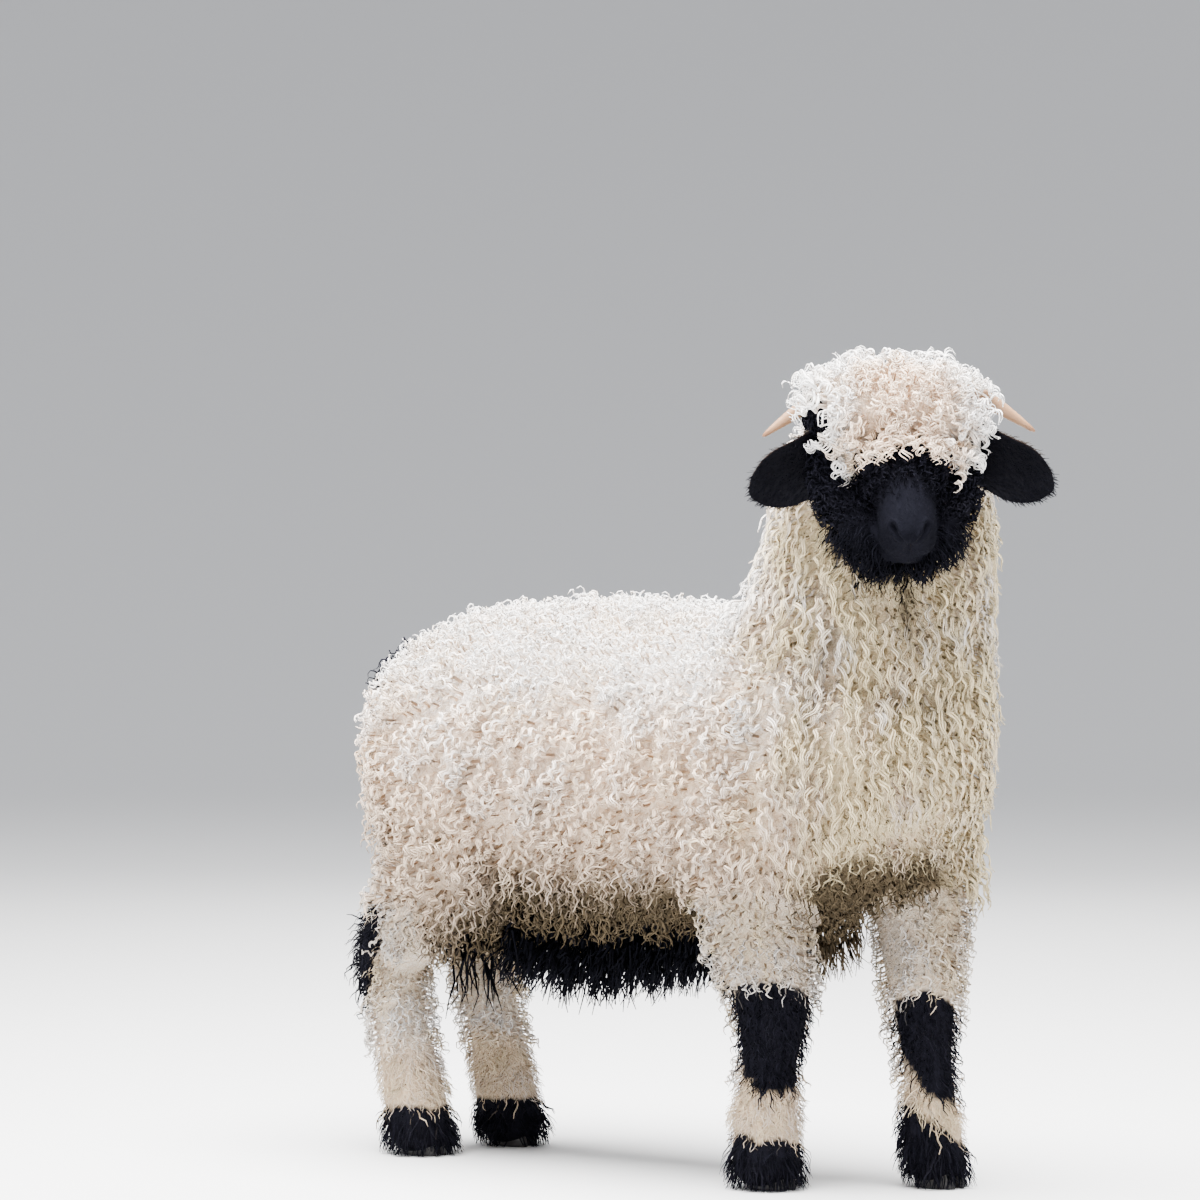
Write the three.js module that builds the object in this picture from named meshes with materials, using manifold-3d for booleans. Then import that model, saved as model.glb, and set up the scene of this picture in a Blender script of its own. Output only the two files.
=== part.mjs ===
// A young blacknose ewe standing still, life size, in millimetres.
// +X is forward, +Y is her left and +Z is up; the floor is at z = 0.
import * as THREE from 'three';
import { mergeVertices } from 'three/addons/utils/BufferGeometryUtils.js';
import { MeshSurfaceSampler } from 'three/addons/math/MeshSurfaceSampler.js';
import Module from 'manifold-3d';

const wasm = await Module();
wasm.setup();

// Main sizes of the animal under her wool
const gap = 0.3;
const backHeight = 600;
const barrelHalfWidth = 128;
const rumpX = -588;
const breastX = 104;
const neckRootRadius = 86;
const neckTopRadius = 60;
const hoofHeight = 34;
const hoofLength = 54;
const hoofWidth = 40;

// How far the tips of the wool stand off the skin
const bodyCoat = 54;
const neckCoat = 58;
const legCoat = 34;
const coreShare = 0.48;

// Kinds of clump, by the piece of the coat that they stand on
const clumps = {
  body: { spacing: 82, long: 122, wide: 104, high: 30, lean: 0.3 },
  neck: { spacing: 72, long: 112, wide: 90, high: 31, lean: 0.3 },
  belly: { spacing: 84, long: 112, wide: 104, high: 36, lean: 0.1 },
  crown: { spacing: 49, long: 76, wide: 66, high: 21, lean: 0.25 },
  ruff: { spacing: 40, long: 58, wide: 52, high: 18, lean: 0.25 },
  tail: { spacing: 56, long: 70, wide: 54, high: 14, lean: 0.25 },
  leg: { spacing: 58, long: 72, wide: 68, high: 18, lean: 0.2 },
  foot: { spacing: 44, long: 42, wide: 52, high: 13, lean: 0.2 },
};
const clumpSides = 5;
const shoulderOfClump = [0.72, 0.68];
const footOfClump = [1.1, -0.15];
const draws = 12000;

// Where the face stays bare of clumps, and how far a leg's wool reaches from its bone
const bareMuzzleX = 92;
const bareMuzzleRadius = 40;
const bareNose = [20, 24];
const bareEyeRadius = 30;
const chinDrop = -190;
const legReach = 66;
const clearOfLegCut = 22;
const clearOfFootCut = 18;

// Where the head sits and how it is turned
const headAt = new THREE.Vector3(112, -63, 830);
const headYaw = THREE.MathUtils.degToRad(-47);
const headPitch = THREE.MathUtils.degToRad(44);
const headRoll = THREE.MathUtils.degToRad(1.5);

// Where one named piece ends and the next begins
const foreLegTop = 330;
const hindLegTop = 300;
const barrelFront = -135;
const barrelBack = -430;
const crownFloor = 806;
const kneeTop = 222;
const kneeBottom = 106;
const footTop = 46;

// Colours of the wool, skin and horn
const creamWool = { color: 0xefe6d6, roughness: 0.95, metalness: 0 };
const blackWool = { color: 0x14120f, roughness: 0.95, metalness: 0 };
const blackSkin = { color: 0x171519, roughness: 0.8, metalness: 0 };
const paleHorn = { color: 0xc9a886, roughness: 0.55, metalness: 0 };
const darkHorn = { color: 0x2a2421, roughness: 0.6, metalness: 0 };
const darkEye = { color: 0x0d0a08, roughness: 0.1, metalness: 0 };

// A repeatable random draw
let randomState = 20117;
function random() {
  randomState = (randomState * 1664525 + 1013904223) % 4294967296;
  return randomState / 4294967296;
}

function vary(amount) {
  return 1 + amount * (2 * random() - 1);
}

function at(x, y, z) {
  return new THREE.Vector3(x, y, z);
}

// Frames of the head: the poll is only turned, and the head is pitched and rolled in it
const body = new THREE.Group();
const poll = new THREE.Group();
poll.position.copy(headAt);
poll.rotation.z = headYaw;
body.add(poll);
const head = new THREE.Group();
head.rotation.set(headRoll, headPitch, 0, 'ZYX');
poll.add(head);
body.updateMatrixWorld(true);

// Closed solids and their joins
function solidOf(geometry) {
  const bare = geometry.clone();
  bare.deleteAttribute('normal');
  bare.deleteAttribute('uv');
  const merged = mergeVertices(bare, 1e-3);
  const vertProperties = new Float32Array(merged.attributes.position.array);
  const triVerts = new Uint32Array(merged.index.array);
  return new wasm.Manifold(new wasm.Mesh({ numProp: 3, vertProperties, triVerts }));
}

function geometryOf(solid) {
  const mesh = solid.getMesh();
  const geometry = new THREE.BufferGeometry();
  const position = new Float32Array(mesh.vertProperties);
  geometry.setAttribute('position', new THREE.BufferAttribute(position, 3));
  geometry.setIndex(new THREE.BufferAttribute(new Uint32Array(mesh.triVerts), 1));
  return geometry;
}

function joined(solids) {
  return solids.reduce((sum, solid) => sum.add(solid));
}

function largest(solid) {
  const pieces = solid.decompose();
  return pieces.reduce((best, piece) => (piece.volume() > best.volume() ? piece : best));
}

// A round body swept along stations, each with a middle, a half width and a half depth
function swept(stations, { sides = 16, rows = 12, cap = 0.15, grow = 0 } = {}) {
  const middle = new THREE.CatmullRomCurve3(stations.map((s) => at(...s.at)));
  const sizes = new THREE.CatmullRomCurve3(stations.map((s) => at(s.wide, s.deep ?? s.wide, s.turn ?? 0)));
  const geometry = new THREE.SphereGeometry(1, sides, rows);
  const position = geometry.attributes.position;
  const uv = geometry.attributes.uv;
  const left = at(0, 1, 0);
  for (let i = 0; i < position.count; i++) {
    const t = THREE.MathUtils.clamp((1 - Math.cos(Math.PI * (1 - uv.getY(i)))) / 2, 0, 1);
    const angle = Math.atan2(position.getZ(i), position.getX(i));
    const atPole = Math.hypot(position.getZ(i), position.getX(i)) < 1e-6;
    const toEnd = Math.min(t, 1 - t) / cap;
    const close = toEnd < 1 ? Math.sqrt(Math.max(0, 1 - (1 - toEnd) ** 2)) : 1;
    const point = middle.getPoint(t);
    const tangent = middle.getTangent(t);
    const size = sizes.getPoint(t);
    left.set(-Math.sin(size.z), Math.cos(size.z), 0);
    const side = left.clone().addScaledVector(tangent, -left.dot(tangent)).normalize();
    const other = new THREE.Vector3().crossVectors(tangent, side);
    const across = atPole ? 0 : Math.cos(angle) * close;
    const through = atPole ? 0 : Math.sin(angle) * close;
    const reach = toEnd < 1 ? Math.sign(t - 0.5) * (1 - toEnd) * grow : 0;
    point.addScaledVector(side, across * (size.x + grow));
    point.addScaledVector(other, through * (size.y + grow));
    point.addScaledVector(tangent, reach);
    position.setXYZ(i, point.x, point.y, point.z);
  }
  return geometry;
}

function mirrored(stations) {
  return stations.map((s) => ({ ...s, at: [s.at[0], -s.at[1], s.at[2]], turn: -(s.turn ?? 0) }));
}

function blend(from, to, share) {
  return from.map((value, i) => value + (to[i] - value) * share);
}

// Trunk, shoulders and thighs
const trunkMiddle = backHeight - 153;
const trunkStations = [
  { at: [rumpX, 0, trunkMiddle + 45], wide: 62, deep: 62 },
  { at: [-540, 0, trunkMiddle + 34], wide: 104, deep: 108 },
  { at: [-470, 0, trunkMiddle + 20], wide: 120, deep: 128 },
  { at: [-390, 0, trunkMiddle + 8], wide: barrelHalfWidth, deep: 148 },
  { at: [-280, 0, trunkMiddle], wide: barrelHalfWidth, deep: 152 },
  { at: [-180, 0, trunkMiddle], wide: barrelHalfWidth - 4, deep: 148 },
  { at: [-80, 0, trunkMiddle + 4], wide: barrelHalfWidth - 12, deep: 146 },
  { at: [0, 0, trunkMiddle + 10], wide: barrelHalfWidth - 22, deep: 134 },
  { at: [60, 0, trunkMiddle + 16], wide: barrelHalfWidth - 34, deep: 116 },
  { at: [breastX, 0, trunkMiddle + 20], wide: 60, deep: 76 },
];
const shoulderStations = [
  { at: [-80, 50, 590], wide: 30, deep: 46 },
  { at: [-40, 60, 520], wide: 54, deep: 78 },
  { at: [2, 66, 440], wide: 56, deep: 66 },
  { at: [-8, 72, 370], wide: 50, deep: 56 },
  { at: [-22, 76, 325], wide: 38, deep: 42 },
];
const thighStations = [
  { at: [-520, 48, 575], wide: 40, deep: 50 },
  { at: [-512, 66, 490], wide: 62, deep: 88 },
  { at: [-490, 76, 405], wide: 58, deep: 80 },
  { at: [-500, 80, 335], wide: 46, deep: 58 },
  { at: [-540, 78, 280], wide: 30, deep: 36 },
];

// Neck from the withers and breast to the back of the skull
const neckStations = [
  { at: [-30, 2, 520], wide: neckRootRadius, deep: 100, turn: 0 },
  { at: [10, 4, 600], wide: neckRootRadius, deep: 98, turn: -0.1 },
  { at: [32, 2, 665], wide: neckRootRadius - 8, deep: 84, turn: -0.3 },
  { at: [50, -10, 730], wide: neckTopRadius + 12, deep: 72, turn: -0.55 },
  { at: [66, -24, 790], wide: neckTopRadius + 4, deep: 62, turn: -0.75 },
  { at: [76, -30, 840], wide: neckTopRadius - 14, deep: 44, turn: -0.8 },
];

// Each leg from its elbow or stifle to the coronet
const legs = {
  front_left: {
    joints: [[30, 78, 345], [50, 65, 198], [57, 69, 76], [61, 72, 30]],
    radii: [40, 22, 18, 25],
    coat: 0.78,
  },
  front_right: {
    joints: [[-76, -84, 345], [-66, -56, 198], [-73, -59, 76], [-71, -60, 30]],
    radii: [42, 24, 19, 28],
    coat: 1,
  },
  hind_left: {
    joints: [[-520, 80, 318], [-600, 72, 225], [-566, 69, 76], [-556, 70, 30]],
    radii: [40, 24, 19, 27],
    coat: 1,
  },
  hind_right: {
    joints: [[-534, -78, 318], [-618, -70, 225], [-586, -67, 76], [-577, -66, 30]],
    radii: [40, 24, 19, 27],
    coat: 1,
  },
};
const shankRadius = 14;

function legStations(leg) {
  const [top, middle, fetlock, coronet] = leg.joints;
  const [topRadius, middleRadius, fetlockRadius, coronetRadius] = leg.radii;
  return [
    { at: blend(top, middle, -0.35), wide: topRadius },
    { at: top, wide: topRadius },
    { at: blend(top, middle, 0.55), wide: (topRadius + middleRadius) / 2 },
    { at: middle, wide: middleRadius },
    { at: blend(middle, fetlock, 0.5), wide: shankRadius },
    { at: fetlock, wide: fetlockRadius },
    { at: coronet, wide: coronetRadius },
    { at: [coronet[0], coronet[1], 14], wide: coronetRadius },
  ];
}

// Tail, hanging close behind the rump
const tailStations = [
  { at: [-600, 0, 566], wide: 22, deep: 18 },
  { at: [-650, 0, 530], wide: 24, deep: 16 },
  { at: [-664, 0, 460], wide: 24, deep: 12 },
  { at: [-666, 0, 390], wide: 22, deep: 10 },
  { at: [-664, 0, 335], wide: 14, deep: 8 },
];
const tailFront = -646;
const tailCoat = 22;

// Skull with the muzzle, in the pitched head frame
const skullStations = [
  { at: [-60, 0, 4], wide: 30, deep: 30 },
  { at: [-36, 0, 2], wide: 50, deep: 46 },
  { at: [0, 0, 0], wide: 54, deep: 52 },
  { at: [40, 0, -4], wide: 49, deep: 49 },
  { at: [78, 0, -11], wide: 38, deep: 42 },
  { at: [110, 0, -15], wide: 32, deep: 36 },
  { at: [136, 0, -18], wide: 32, deep: 33 },
  { at: [156, 0, -19], wide: 24, deep: 25 },
];

// Woolly crown and the ruff of black wool round the face, in the upright poll frame
const crownSize = { forward: 74, sideways: 96, upward: 54, middle: [-2, 0, 20] };
const ruffStations = [
  { at: [-4, 62, 6], wide: 20 },
  { at: [2, 62, -30], wide: 22 },
  { at: [20, 58, -66], wide: 25 },
  { at: [36, 38, -108], wide: 26 },
  { at: [44, 0, -134], wide: 26 },
];

// Eyes, ears and horns, in the pitched head frame
const eyeRadius = 12.5;
const eyeAt = [60, 39, 12];
const earStations = [
  { at: [-4, 56, 1], wide: 13, deep: 9 },
  { at: [12, 80, -8], wide: 22, deep: 8 },
  { at: [34, 110, -22], wide: 31, deep: 6 },
  { at: [46, 137, -31], wide: 28, deep: 5 },
  { at: [57, 163, -37], wide: 10, deep: 4 },
];
const hornStations = [
  { at: [-29, 50, 35], wide: 11 },
  { at: [-28, 74, 30], wide: 11 },
  { at: [-23, 100, 17], wide: 9 },
  { at: [-4, 147, -9], wide: 2.5 },
];

function inHead(geometry) {
  return geometry.applyMatrix4(head.matrixWorld);
}

function inPoll(geometry) {
  return geometry.applyMatrix4(poll.matrixWorld);
}

// The ear's blade stands across the line of sight, so its wide axis is turned upright
function earGeometry(side, grow) {
  const stations = earStations.map((s) => ({ ...s, at: [s.at[0], s.at[1] * side, s.at[2]] }));
  const middle = new THREE.CatmullRomCurve3(stations.map((s) => at(...s.at)));
  const sizes = new THREE.CatmullRomCurve3(stations.map((s) => at(s.wide, s.deep, 0)));
  const geometry = new THREE.SphereGeometry(1, 10, 8);
  const position = geometry.attributes.position;
  const uv = geometry.attributes.uv;
  const upright = at(-0.7, 0, 0.7);
  const facing = at(0.7, 0, 0.7);
  const cupDepth = 9;
  for (let i = 0; i < position.count; i++) {
    const t = THREE.MathUtils.clamp((1 - Math.cos(Math.PI * (1 - uv.getY(i)))) / 2, 0, 1);
    const ring = Math.hypot(position.getZ(i), position.getX(i));
    const angle = Math.atan2(position.getZ(i), position.getX(i));
    const toEnd = Math.min(t, 1 - t) / 0.12;
    const close = ring < 1e-6 ? 0 : Math.sqrt(Math.max(0, 1 - Math.max(0, 1 - toEnd) ** 2));
    const point = middle.getPoint(t);
    const tangent = middle.getTangent(t);
    const size = sizes.getPoint(t);
    const wideAxis = upright.clone().addScaledVector(tangent, -upright.dot(tangent)).normalize();
    const deepAxis = new THREE.Vector3().crossVectors(tangent, wideAxis);
    const across = Math.cos(angle) * close;
    const through = Math.sin(angle) * close;
    const reach = toEnd < 1 ? Math.sign(t - 0.5) * (1 - toEnd) * grow : 0;
    const fold = cupDepth * Math.sin(Math.PI * Math.min(1, t * 1.1)) * across * across;
    point.addScaledVector(wideAxis, across * (size.x + grow));
    const towardFace = Math.sign(deepAxis.dot(facing));
    point.addScaledVector(deepAxis, through * (size.y + grow) + fold * towardFace);
    point.addScaledVector(tangent, reach);
    position.setXYZ(i, point.x, point.y, point.z);
  }
  return inHead(geometry);
}

function hornGeometry(side, grow) {
  const stations = side > 0 ? hornStations : mirrored(hornStations);
  return inHead(swept(stations, { sides: 8, rows: 7, cap: 0.05, grow }));
}

function eyeGeometry(side, grow) {
  const geometry = new THREE.SphereGeometry(eyeRadius + grow, 10, 8);
  geometry.translate(eyeAt[0], eyeAt[1] * side, eyeAt[2]);
  return inHead(geometry);
}

// A cloven hoof: a tapered drum with a pointed toe, split from the front
function hoofGeometry(leg, grow) {
  const coronet = leg.joints[3];
  const top = hoofLength / 2 - 6 + grow;
  const bottom = hoofLength / 2 + grow;
  const geometry = new THREE.CylinderGeometry(top, bottom, hoofHeight + grow, 12);
  geometry.rotateX(Math.PI / 2);
  geometry.scale(1, hoofWidth / hoofLength, 1);
  geometry.translate(0, 0, (hoofHeight + grow) / 2);
  geometry.translate(coronet[0] + 8, coronet[1], 0);
  return geometry;
}

function hoofSolid(leg) {
  const coronet = leg.joints[3];
  const cleft = new THREE.BoxGeometry(hoofLength * 0.8, 3, hoofHeight * 0.72);
  cleft.translate(coronet[0] + 8 + hoofLength * 0.25, coronet[1], hoofHeight * 0.3);
  return solidOf(hoofGeometry(leg, 0)).subtract(solidOf(cleft));
}

// The folds of the face: lids round the eyes, pads of the lips, chin, nostrils and mouth
const lidRadius = 11.5;
const lidTube = 3.2;
const lidForward = 0.3;
const lipStations = [
  { at: [118, 14, -27], wide: 15, deep: 13 },
  { at: [138, 13, -27], wide: 16, deep: 14 },
  { at: [157, 9, -27], wide: 9, deep: 9 },
];
const chinStations = [
  { at: [84, 0, -40], wide: 20, deep: 14 },
  { at: [124, 0, -44], wide: 18, deep: 13 },
  { at: [149, 0, -44], wide: 12, deep: 9 },
];
const nosePad = [
  { at: [122, 0, 2], wide: 20, deep: 12 },
  { at: [148, 0, -4], wide: 19, deep: 13 },
  { at: [161, 0, -12], wide: 12, deep: 9 },
];
const nostrilStations = [
  { at: [150, 20, 2], wide: 3 },
  { at: [158, 15, -4], wide: 4 },
  { at: [162, 8, -11], wide: 3 },
];
const mouthStations = [
  { at: [100, 32, -34], wide: 1.5 },
  { at: [122, 31, -38], wide: 2 },
  { at: [146, 22, -40], wide: 2 },
  { at: [160, 0, -38], wide: 2 },
  { at: [146, -22, -40], wide: 2 },
  { at: [122, -31, -38], wide: 2 },
  { at: [100, -32, -34], wide: 1.5 },
];

function bothSides(stations, options) {
  return [stations, mirrored(stations)].map((s) => inHead(swept(s, options)));
}

function lidGeometry(side) {
  const lid = new THREE.TorusGeometry(lidRadius, lidTube, 4, 9);
  const outward = at(lidForward, side, 0.1).normalize();
  lid.applyQuaternion(new THREE.Quaternion().setFromUnitVectors(at(0, 0, 1), outward));
  lid.translate(eyeAt[0], eyeAt[1] * side, eyeAt[2]);
  lid.translate(outward.x * 6, outward.y * 6, outward.z * 6);
  return inHead(lid);
}

function faceFolds() {
  return [
    ...bothSides(lipStations, { sides: 7, rows: 4, cap: 0.3 }),
    inHead(swept(chinStations, { sides: 7, rows: 4, cap: 0.3 })),
    inHead(swept(nosePad, { sides: 7, rows: 4, cap: 0.3 })),
    lidGeometry(1),
    lidGeometry(-1),
  ].map(solidOf);
}

function faceHollows() {
  return [
    ...bothSides(nostrilStations, { sides: 5, rows: 4, cap: 0.3 }),
    inHead(swept(mouthStations, { sides: 4, rows: 8, cap: 0.05 })),
  ].map(solidOf);
}

// The core of the fleece: every body grown by just under half its coat
function coreBodies() {
  const bodyGrow = bodyCoat * coreShare;
  const bodies = [
    swept(trunkStations, { sides: 14, rows: 10, cap: 0.1, grow: bodyGrow }),
    swept(neckStations, { sides: 12, rows: 7, cap: 0.12, grow: neckCoat * coreShare }),
  ];
  for (const stations of [shoulderStations, thighStations]) {
    for (const s of [stations, mirrored(stations)]) {
      bodies.push(swept(s, { sides: 10, rows: 6, cap: 0.2, grow: bodyGrow - 3 }));
    }
  }
  for (const leg of Object.values(legs)) {
    const grow = legCoat * leg.coat * coreShare;
    bodies.push(swept(legStations(leg), { sides: 8, rows: 10, cap: 0.02, grow }));
  }
  bodies.push(swept(tailStations, { sides: 8, rows: 8, cap: 0.15, grow: tailCoat * coreShare }));
  const crown = new THREE.SphereGeometry(1, 10, 5);
  crown.rotateX(Math.PI / 2);
  const { forward, sideways, upward, middle } = crownSize;
  crown.scale(forward, sideways, upward);
  crown.translate(...middle);
  bodies.push(inPoll(crown));
  const skull = swept(skullStations, { sides: 12, rows: 9, cap: 0.1 });
  bodies.push(inHead(skull));
  for (const stations of [ruffStations, mirrored(ruffStations)]) {
    bodies.push(inPoll(swept(stations, { sides: 8, rows: 7, cap: 0.1 })));
  }
  return bodies.map(solidOf);
}

// Half spaces that part the fleece into its named pieces
const far = 3000;
function beyond(point, direction) {
  const box = new THREE.BoxGeometry(far, far, far);
  box.translate(far / 2 + gap / 2, 0, 0);
  const turn = new THREE.Quaternion().setFromUnitVectors(at(1, 0, 0), direction.clone().normalize());
  box.applyQuaternion(turn);
  box.translate(point.x, point.y, point.z);
  return solidOf(box);
}

function between(solid, planes) {
  return planes.reduce((rest, [point, direction]) => rest.intersect(beyond(point, direction)), solid);
}

const ahead = at(1, 0, 0);
const behind = at(-1, 0, 0);
const up = at(0, 0, 1);
const down = at(0, 0, -1);
const leftward = at(0, 1, 0);
const rightward = at(0, -1, 0);

function level(z) {
  return at(0, 0, z);
}

const faceDepth = 30;
const faceForward = at(0.9, 0, 0.44).transformDirection(poll.matrixWorld);
const faceBack = at(28, 0, -62).applyMatrix4(poll.matrixWorld).addScaledVector(faceForward, -faceDepth);
const neckUp = at(0.1, 0, 0.3);
const neckFoot = at(-130, 0, 655);

// The kind of clump at a point of the core and the way it lies, or nothing on bare skin
function coatAt(point, outward) {
  const local = head.worldToLocal(point.clone());
  const upright = poll.worldToLocal(point.clone());
  if (upright.z > crownFloor - headAt.z) {
    const lie = at(upright.x, upright.y, -30).normalize().transformDirection(poll.matrixWorld);
    return { ...clumps.crown, lie };
  }
  const isFace = point.clone().sub(faceBack).dot(faceForward) > 0 && upright.z > chinDrop;
  if (isFace) {
    const [eyeX, eyeY, eyeZ] = eyeAt;
    const toEye = Math.hypot(local.x - eyeX, Math.abs(local.y) - eyeY - 8, local.z - eyeZ);
    const onMuzzle = local.x > bareMuzzleX && Math.hypot(local.y, local.z + 15) < bareMuzzleRadius;
    const onNose = local.x > bareNose[0] && local.z > 20 && Math.abs(local.y) < bareNose[1];
    if (toEye < bareEyeRadius || onMuzzle || onNose) return null;
    return { ...clumps.ruff, lie: at(0, 0, -1) };
  }
  const cuts = [foreLegTop, kneeTop, kneeBottom, footTop];
  const toCut = Math.min(...cuts.map((z) => Math.abs(point.z - z)));
  if (point.z < footTop) return toCut < clearOfFootCut ? null : { ...clumps.foot, lie: at(0, 0, -1) };
  const onLeg = Object.values(legs).some((leg) => {
    const [top, middle] = leg.joints;
    const rise = Math.max(0, (point.z - middle[2]) / (top[2] - middle[2]));
    const axis = blend(middle, top, rise);
    return Math.hypot(point.x - axis[0], point.y - axis[1]) < legReach;
  });
  if (onLeg && point.z < foreLegTop) {
    return toCut < clearOfLegCut ? null : { ...clumps.leg, lie: at(0, 0, -1) };
  }
  if (outward.z < -0.6) return { ...clumps.belly, lie: at(-1, 0, -0.4) };
  if (point.x < tailFront) return { ...clumps.tail, lie: at(0, 0, -1) };
  const aboveNeck = point.clone().sub(neckFoot).dot(neckUp) > 0;
  if (aboveNeck) return { ...clumps.neck, lie: at(-0.15, 0, -1) };
  const back = outward.z > 0.75 ? 1 : 0.35;
  return { ...clumps.body, lie: at(-back, 0, -1 + back * 0.3) };
}

// One rounded clump of curls: a low dome with its root sunk in the core
function clump(point, outward, kind) {
  const { long, wide, high, lean, lie } = kind;
  const geometry = new THREE.SphereGeometry(1, clumpSides, 3);
  const position = geometry.attributes.position;
  for (let i = 0; i < position.count; i++) {
    const height = position.getY(i);
    if (Math.abs(height) > 0.9) continue;
    const [spread, rise] = height > 0 ? shoulderOfClump : footOfClump;
    position.setXYZ(i, position.getX(i) * spread, rise, position.getZ(i) * spread);
  }
  geometry.rotateY(random() * Math.PI);
  const along = lie.clone().addScaledVector(outward, -lie.dot(outward)).normalize();
  const axis = outward.clone().addScaledVector(along, lean).normalize();
  const flat = along.clone().addScaledVector(axis, -along.dot(axis)).normalize();
  const across = new THREE.Vector3().crossVectors(flat, axis);
  const size = vary(0.14);
  const matrix = new THREE.Matrix4().makeBasis(
    flat.multiplyScalar(long / 2 * size),
    axis.multiplyScalar(high * vary(0.12)),
    across.multiplyScalar(wide / 2 * size),
  );
  matrix.setPosition(point);
  return geometry.applyMatrix4(matrix);
}

// Clumps set close all over the core, each at its kind's distance from the others
function clumpsOver(core) {
  const sampler = new MeshSurfaceSampler(new THREE.Mesh(geometryOf(core).toNonIndexed()));
  sampler.setRandomGenerator(random).build();
  const roots = [];
  const solids = [];
  const point = new THREE.Vector3();
  const outward = new THREE.Vector3();
  for (let i = 0; i < draws; i++) {
    sampler.sample(point, outward);
    const kind = coatAt(point, outward);
    if (!kind || roots.some((root) => root.distanceTo(point) < kind.spacing)) continue;
    roots.push(point.clone());
    solids.push(solidOf(clump(point, outward, kind)));
  }
  return solids;
}

const core = joined(coreBodies());
const floorClear = level(2);
const fleece = wasm.Manifold.union([core, ...faceFolds(), ...clumpsOver(core)]);
const hollows = faceHollows();
for (const side of [1, -1]) {
  hollows.push(solidOf(earGeometry(side, gap)));
  hollows.push(solidOf(hornGeometry(side, gap)));
  hollows.push(solidOf(eyeGeometry(side, gap)));
}
for (const leg of Object.values(legs)) {
  hollows.push(solidOf(hoofGeometry(leg, gap)));
}
const coat = fleece.intersect(beyond(floorClear, up)).subtract(joined(hollows));

function addNode(name, solid, finish, parent) {
  const geometry = geometryOf(largest(solid));
  geometry.applyMatrix4(parent.matrixWorld.clone().invert());
  geometry.computeBoundingBox();
  const middle = geometry.boundingBox.getCenter(new THREE.Vector3()).round();
  geometry.translate(-middle.x, -middle.y, -middle.z);
  const mesh = new THREE.Mesh(geometry, new THREE.MeshStandardMaterial(finish));
  mesh.name = name;
  mesh.position.copy(middle);
  parent.add(mesh);
}

const upFromNeck = [neckFoot, neckUp];
const belowNeck = [neckFoot, neckUp.clone().negate()];
const inFrontOfNeck = [faceBack, faceForward];
const behindFace = [faceBack, faceForward.clone().negate()];
addNode('crown', between(coat, [[level(crownFloor), up]]), creamWool, poll);
addNode('head', between(coat, [[level(crownFloor), down], inFrontOfNeck, upFromNeck]), blackSkin, head);
addNode('neck', between(coat, [[level(crownFloor), down], behindFace, upFromNeck]), creamWool, body);
addNode('forequarters', between(coat, [
  belowNeck, [level(foreLegTop), up], [at(barrelFront, 0, 0), ahead],
]), creamWool, body);
addNode('barrel', between(coat, [
  belowNeck, [at(barrelFront, 0, 0), behind], [at(barrelBack, 0, 0), ahead],
]), creamWool, body);
addNode('hindquarters', between(coat, [
  [level(hindLegTop), up], [at(barrelBack, 0, 0), behind], [at(tailFront, 0, 0), ahead],
]), creamWool, body);
addNode('tail', between(coat, [[level(hindLegTop), up], [at(tailFront, 0, 0), behind]]), creamWool, body);

for (const [name, leg] of Object.entries(legs)) {
  const isFront = name.startsWith('front');
  const sideways = name.endsWith('left') ? leftward : rightward;
  const ends = isFront ? [at(barrelFront, 0, 0), ahead] : [at(barrelBack, 0, 0), behind];
  const legTop = isFront ? foreLegTop : hindLegTop;
  const own = between(coat, [ends, [level(0), sideways], [level(legTop), down]]);
  const lengths = [
    ['upper_leg', legTop, kneeTop, creamWool],
    [isFront ? 'knee' : 'hock', kneeTop, kneeBottom, blackWool],
    ['fetlock', kneeBottom, footTop, creamWool],
    ['foot', footTop, 0, blackWool],
  ];
  for (const [part, top, bottom, finish] of lengths) {
    addNode(`${name}_${part}`, between(own, [[level(top), down], [level(bottom), up]]), finish, body);
  }
  addNode(`${name}_hoof`, hoofSolid(leg), darkHorn, body);
}

for (const [side, word] of [[1, 'left'], [-1, 'right']]) {
  addNode(`ear_${word}`, solidOf(earGeometry(side, 0)), blackSkin, head);
  addNode(`horn_${word}`, solidOf(hornGeometry(side, 0)), paleHorn, head);
  addNode(`eye_${word}`, solidOf(eyeGeometry(side, 0)), darkEye, head);
}

// The origin goes under the middle of the animal's box
const sheep = new THREE.Group();
sheep.add(body);
const box = new THREE.Box3().setFromObject(body, true);
body.position.set(-(box.min.x + box.max.x) / 2, -(box.min.y + box.max.y) / 2, -box.min.z);
sheep.updateMatrixWorld(true);

export default sheep;
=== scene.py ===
# A young blacknose ewe standing still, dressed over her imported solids, in metres
import math

import bmesh
import bpy
import numpy as np
from mathutils import Matrix, Vector


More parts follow.
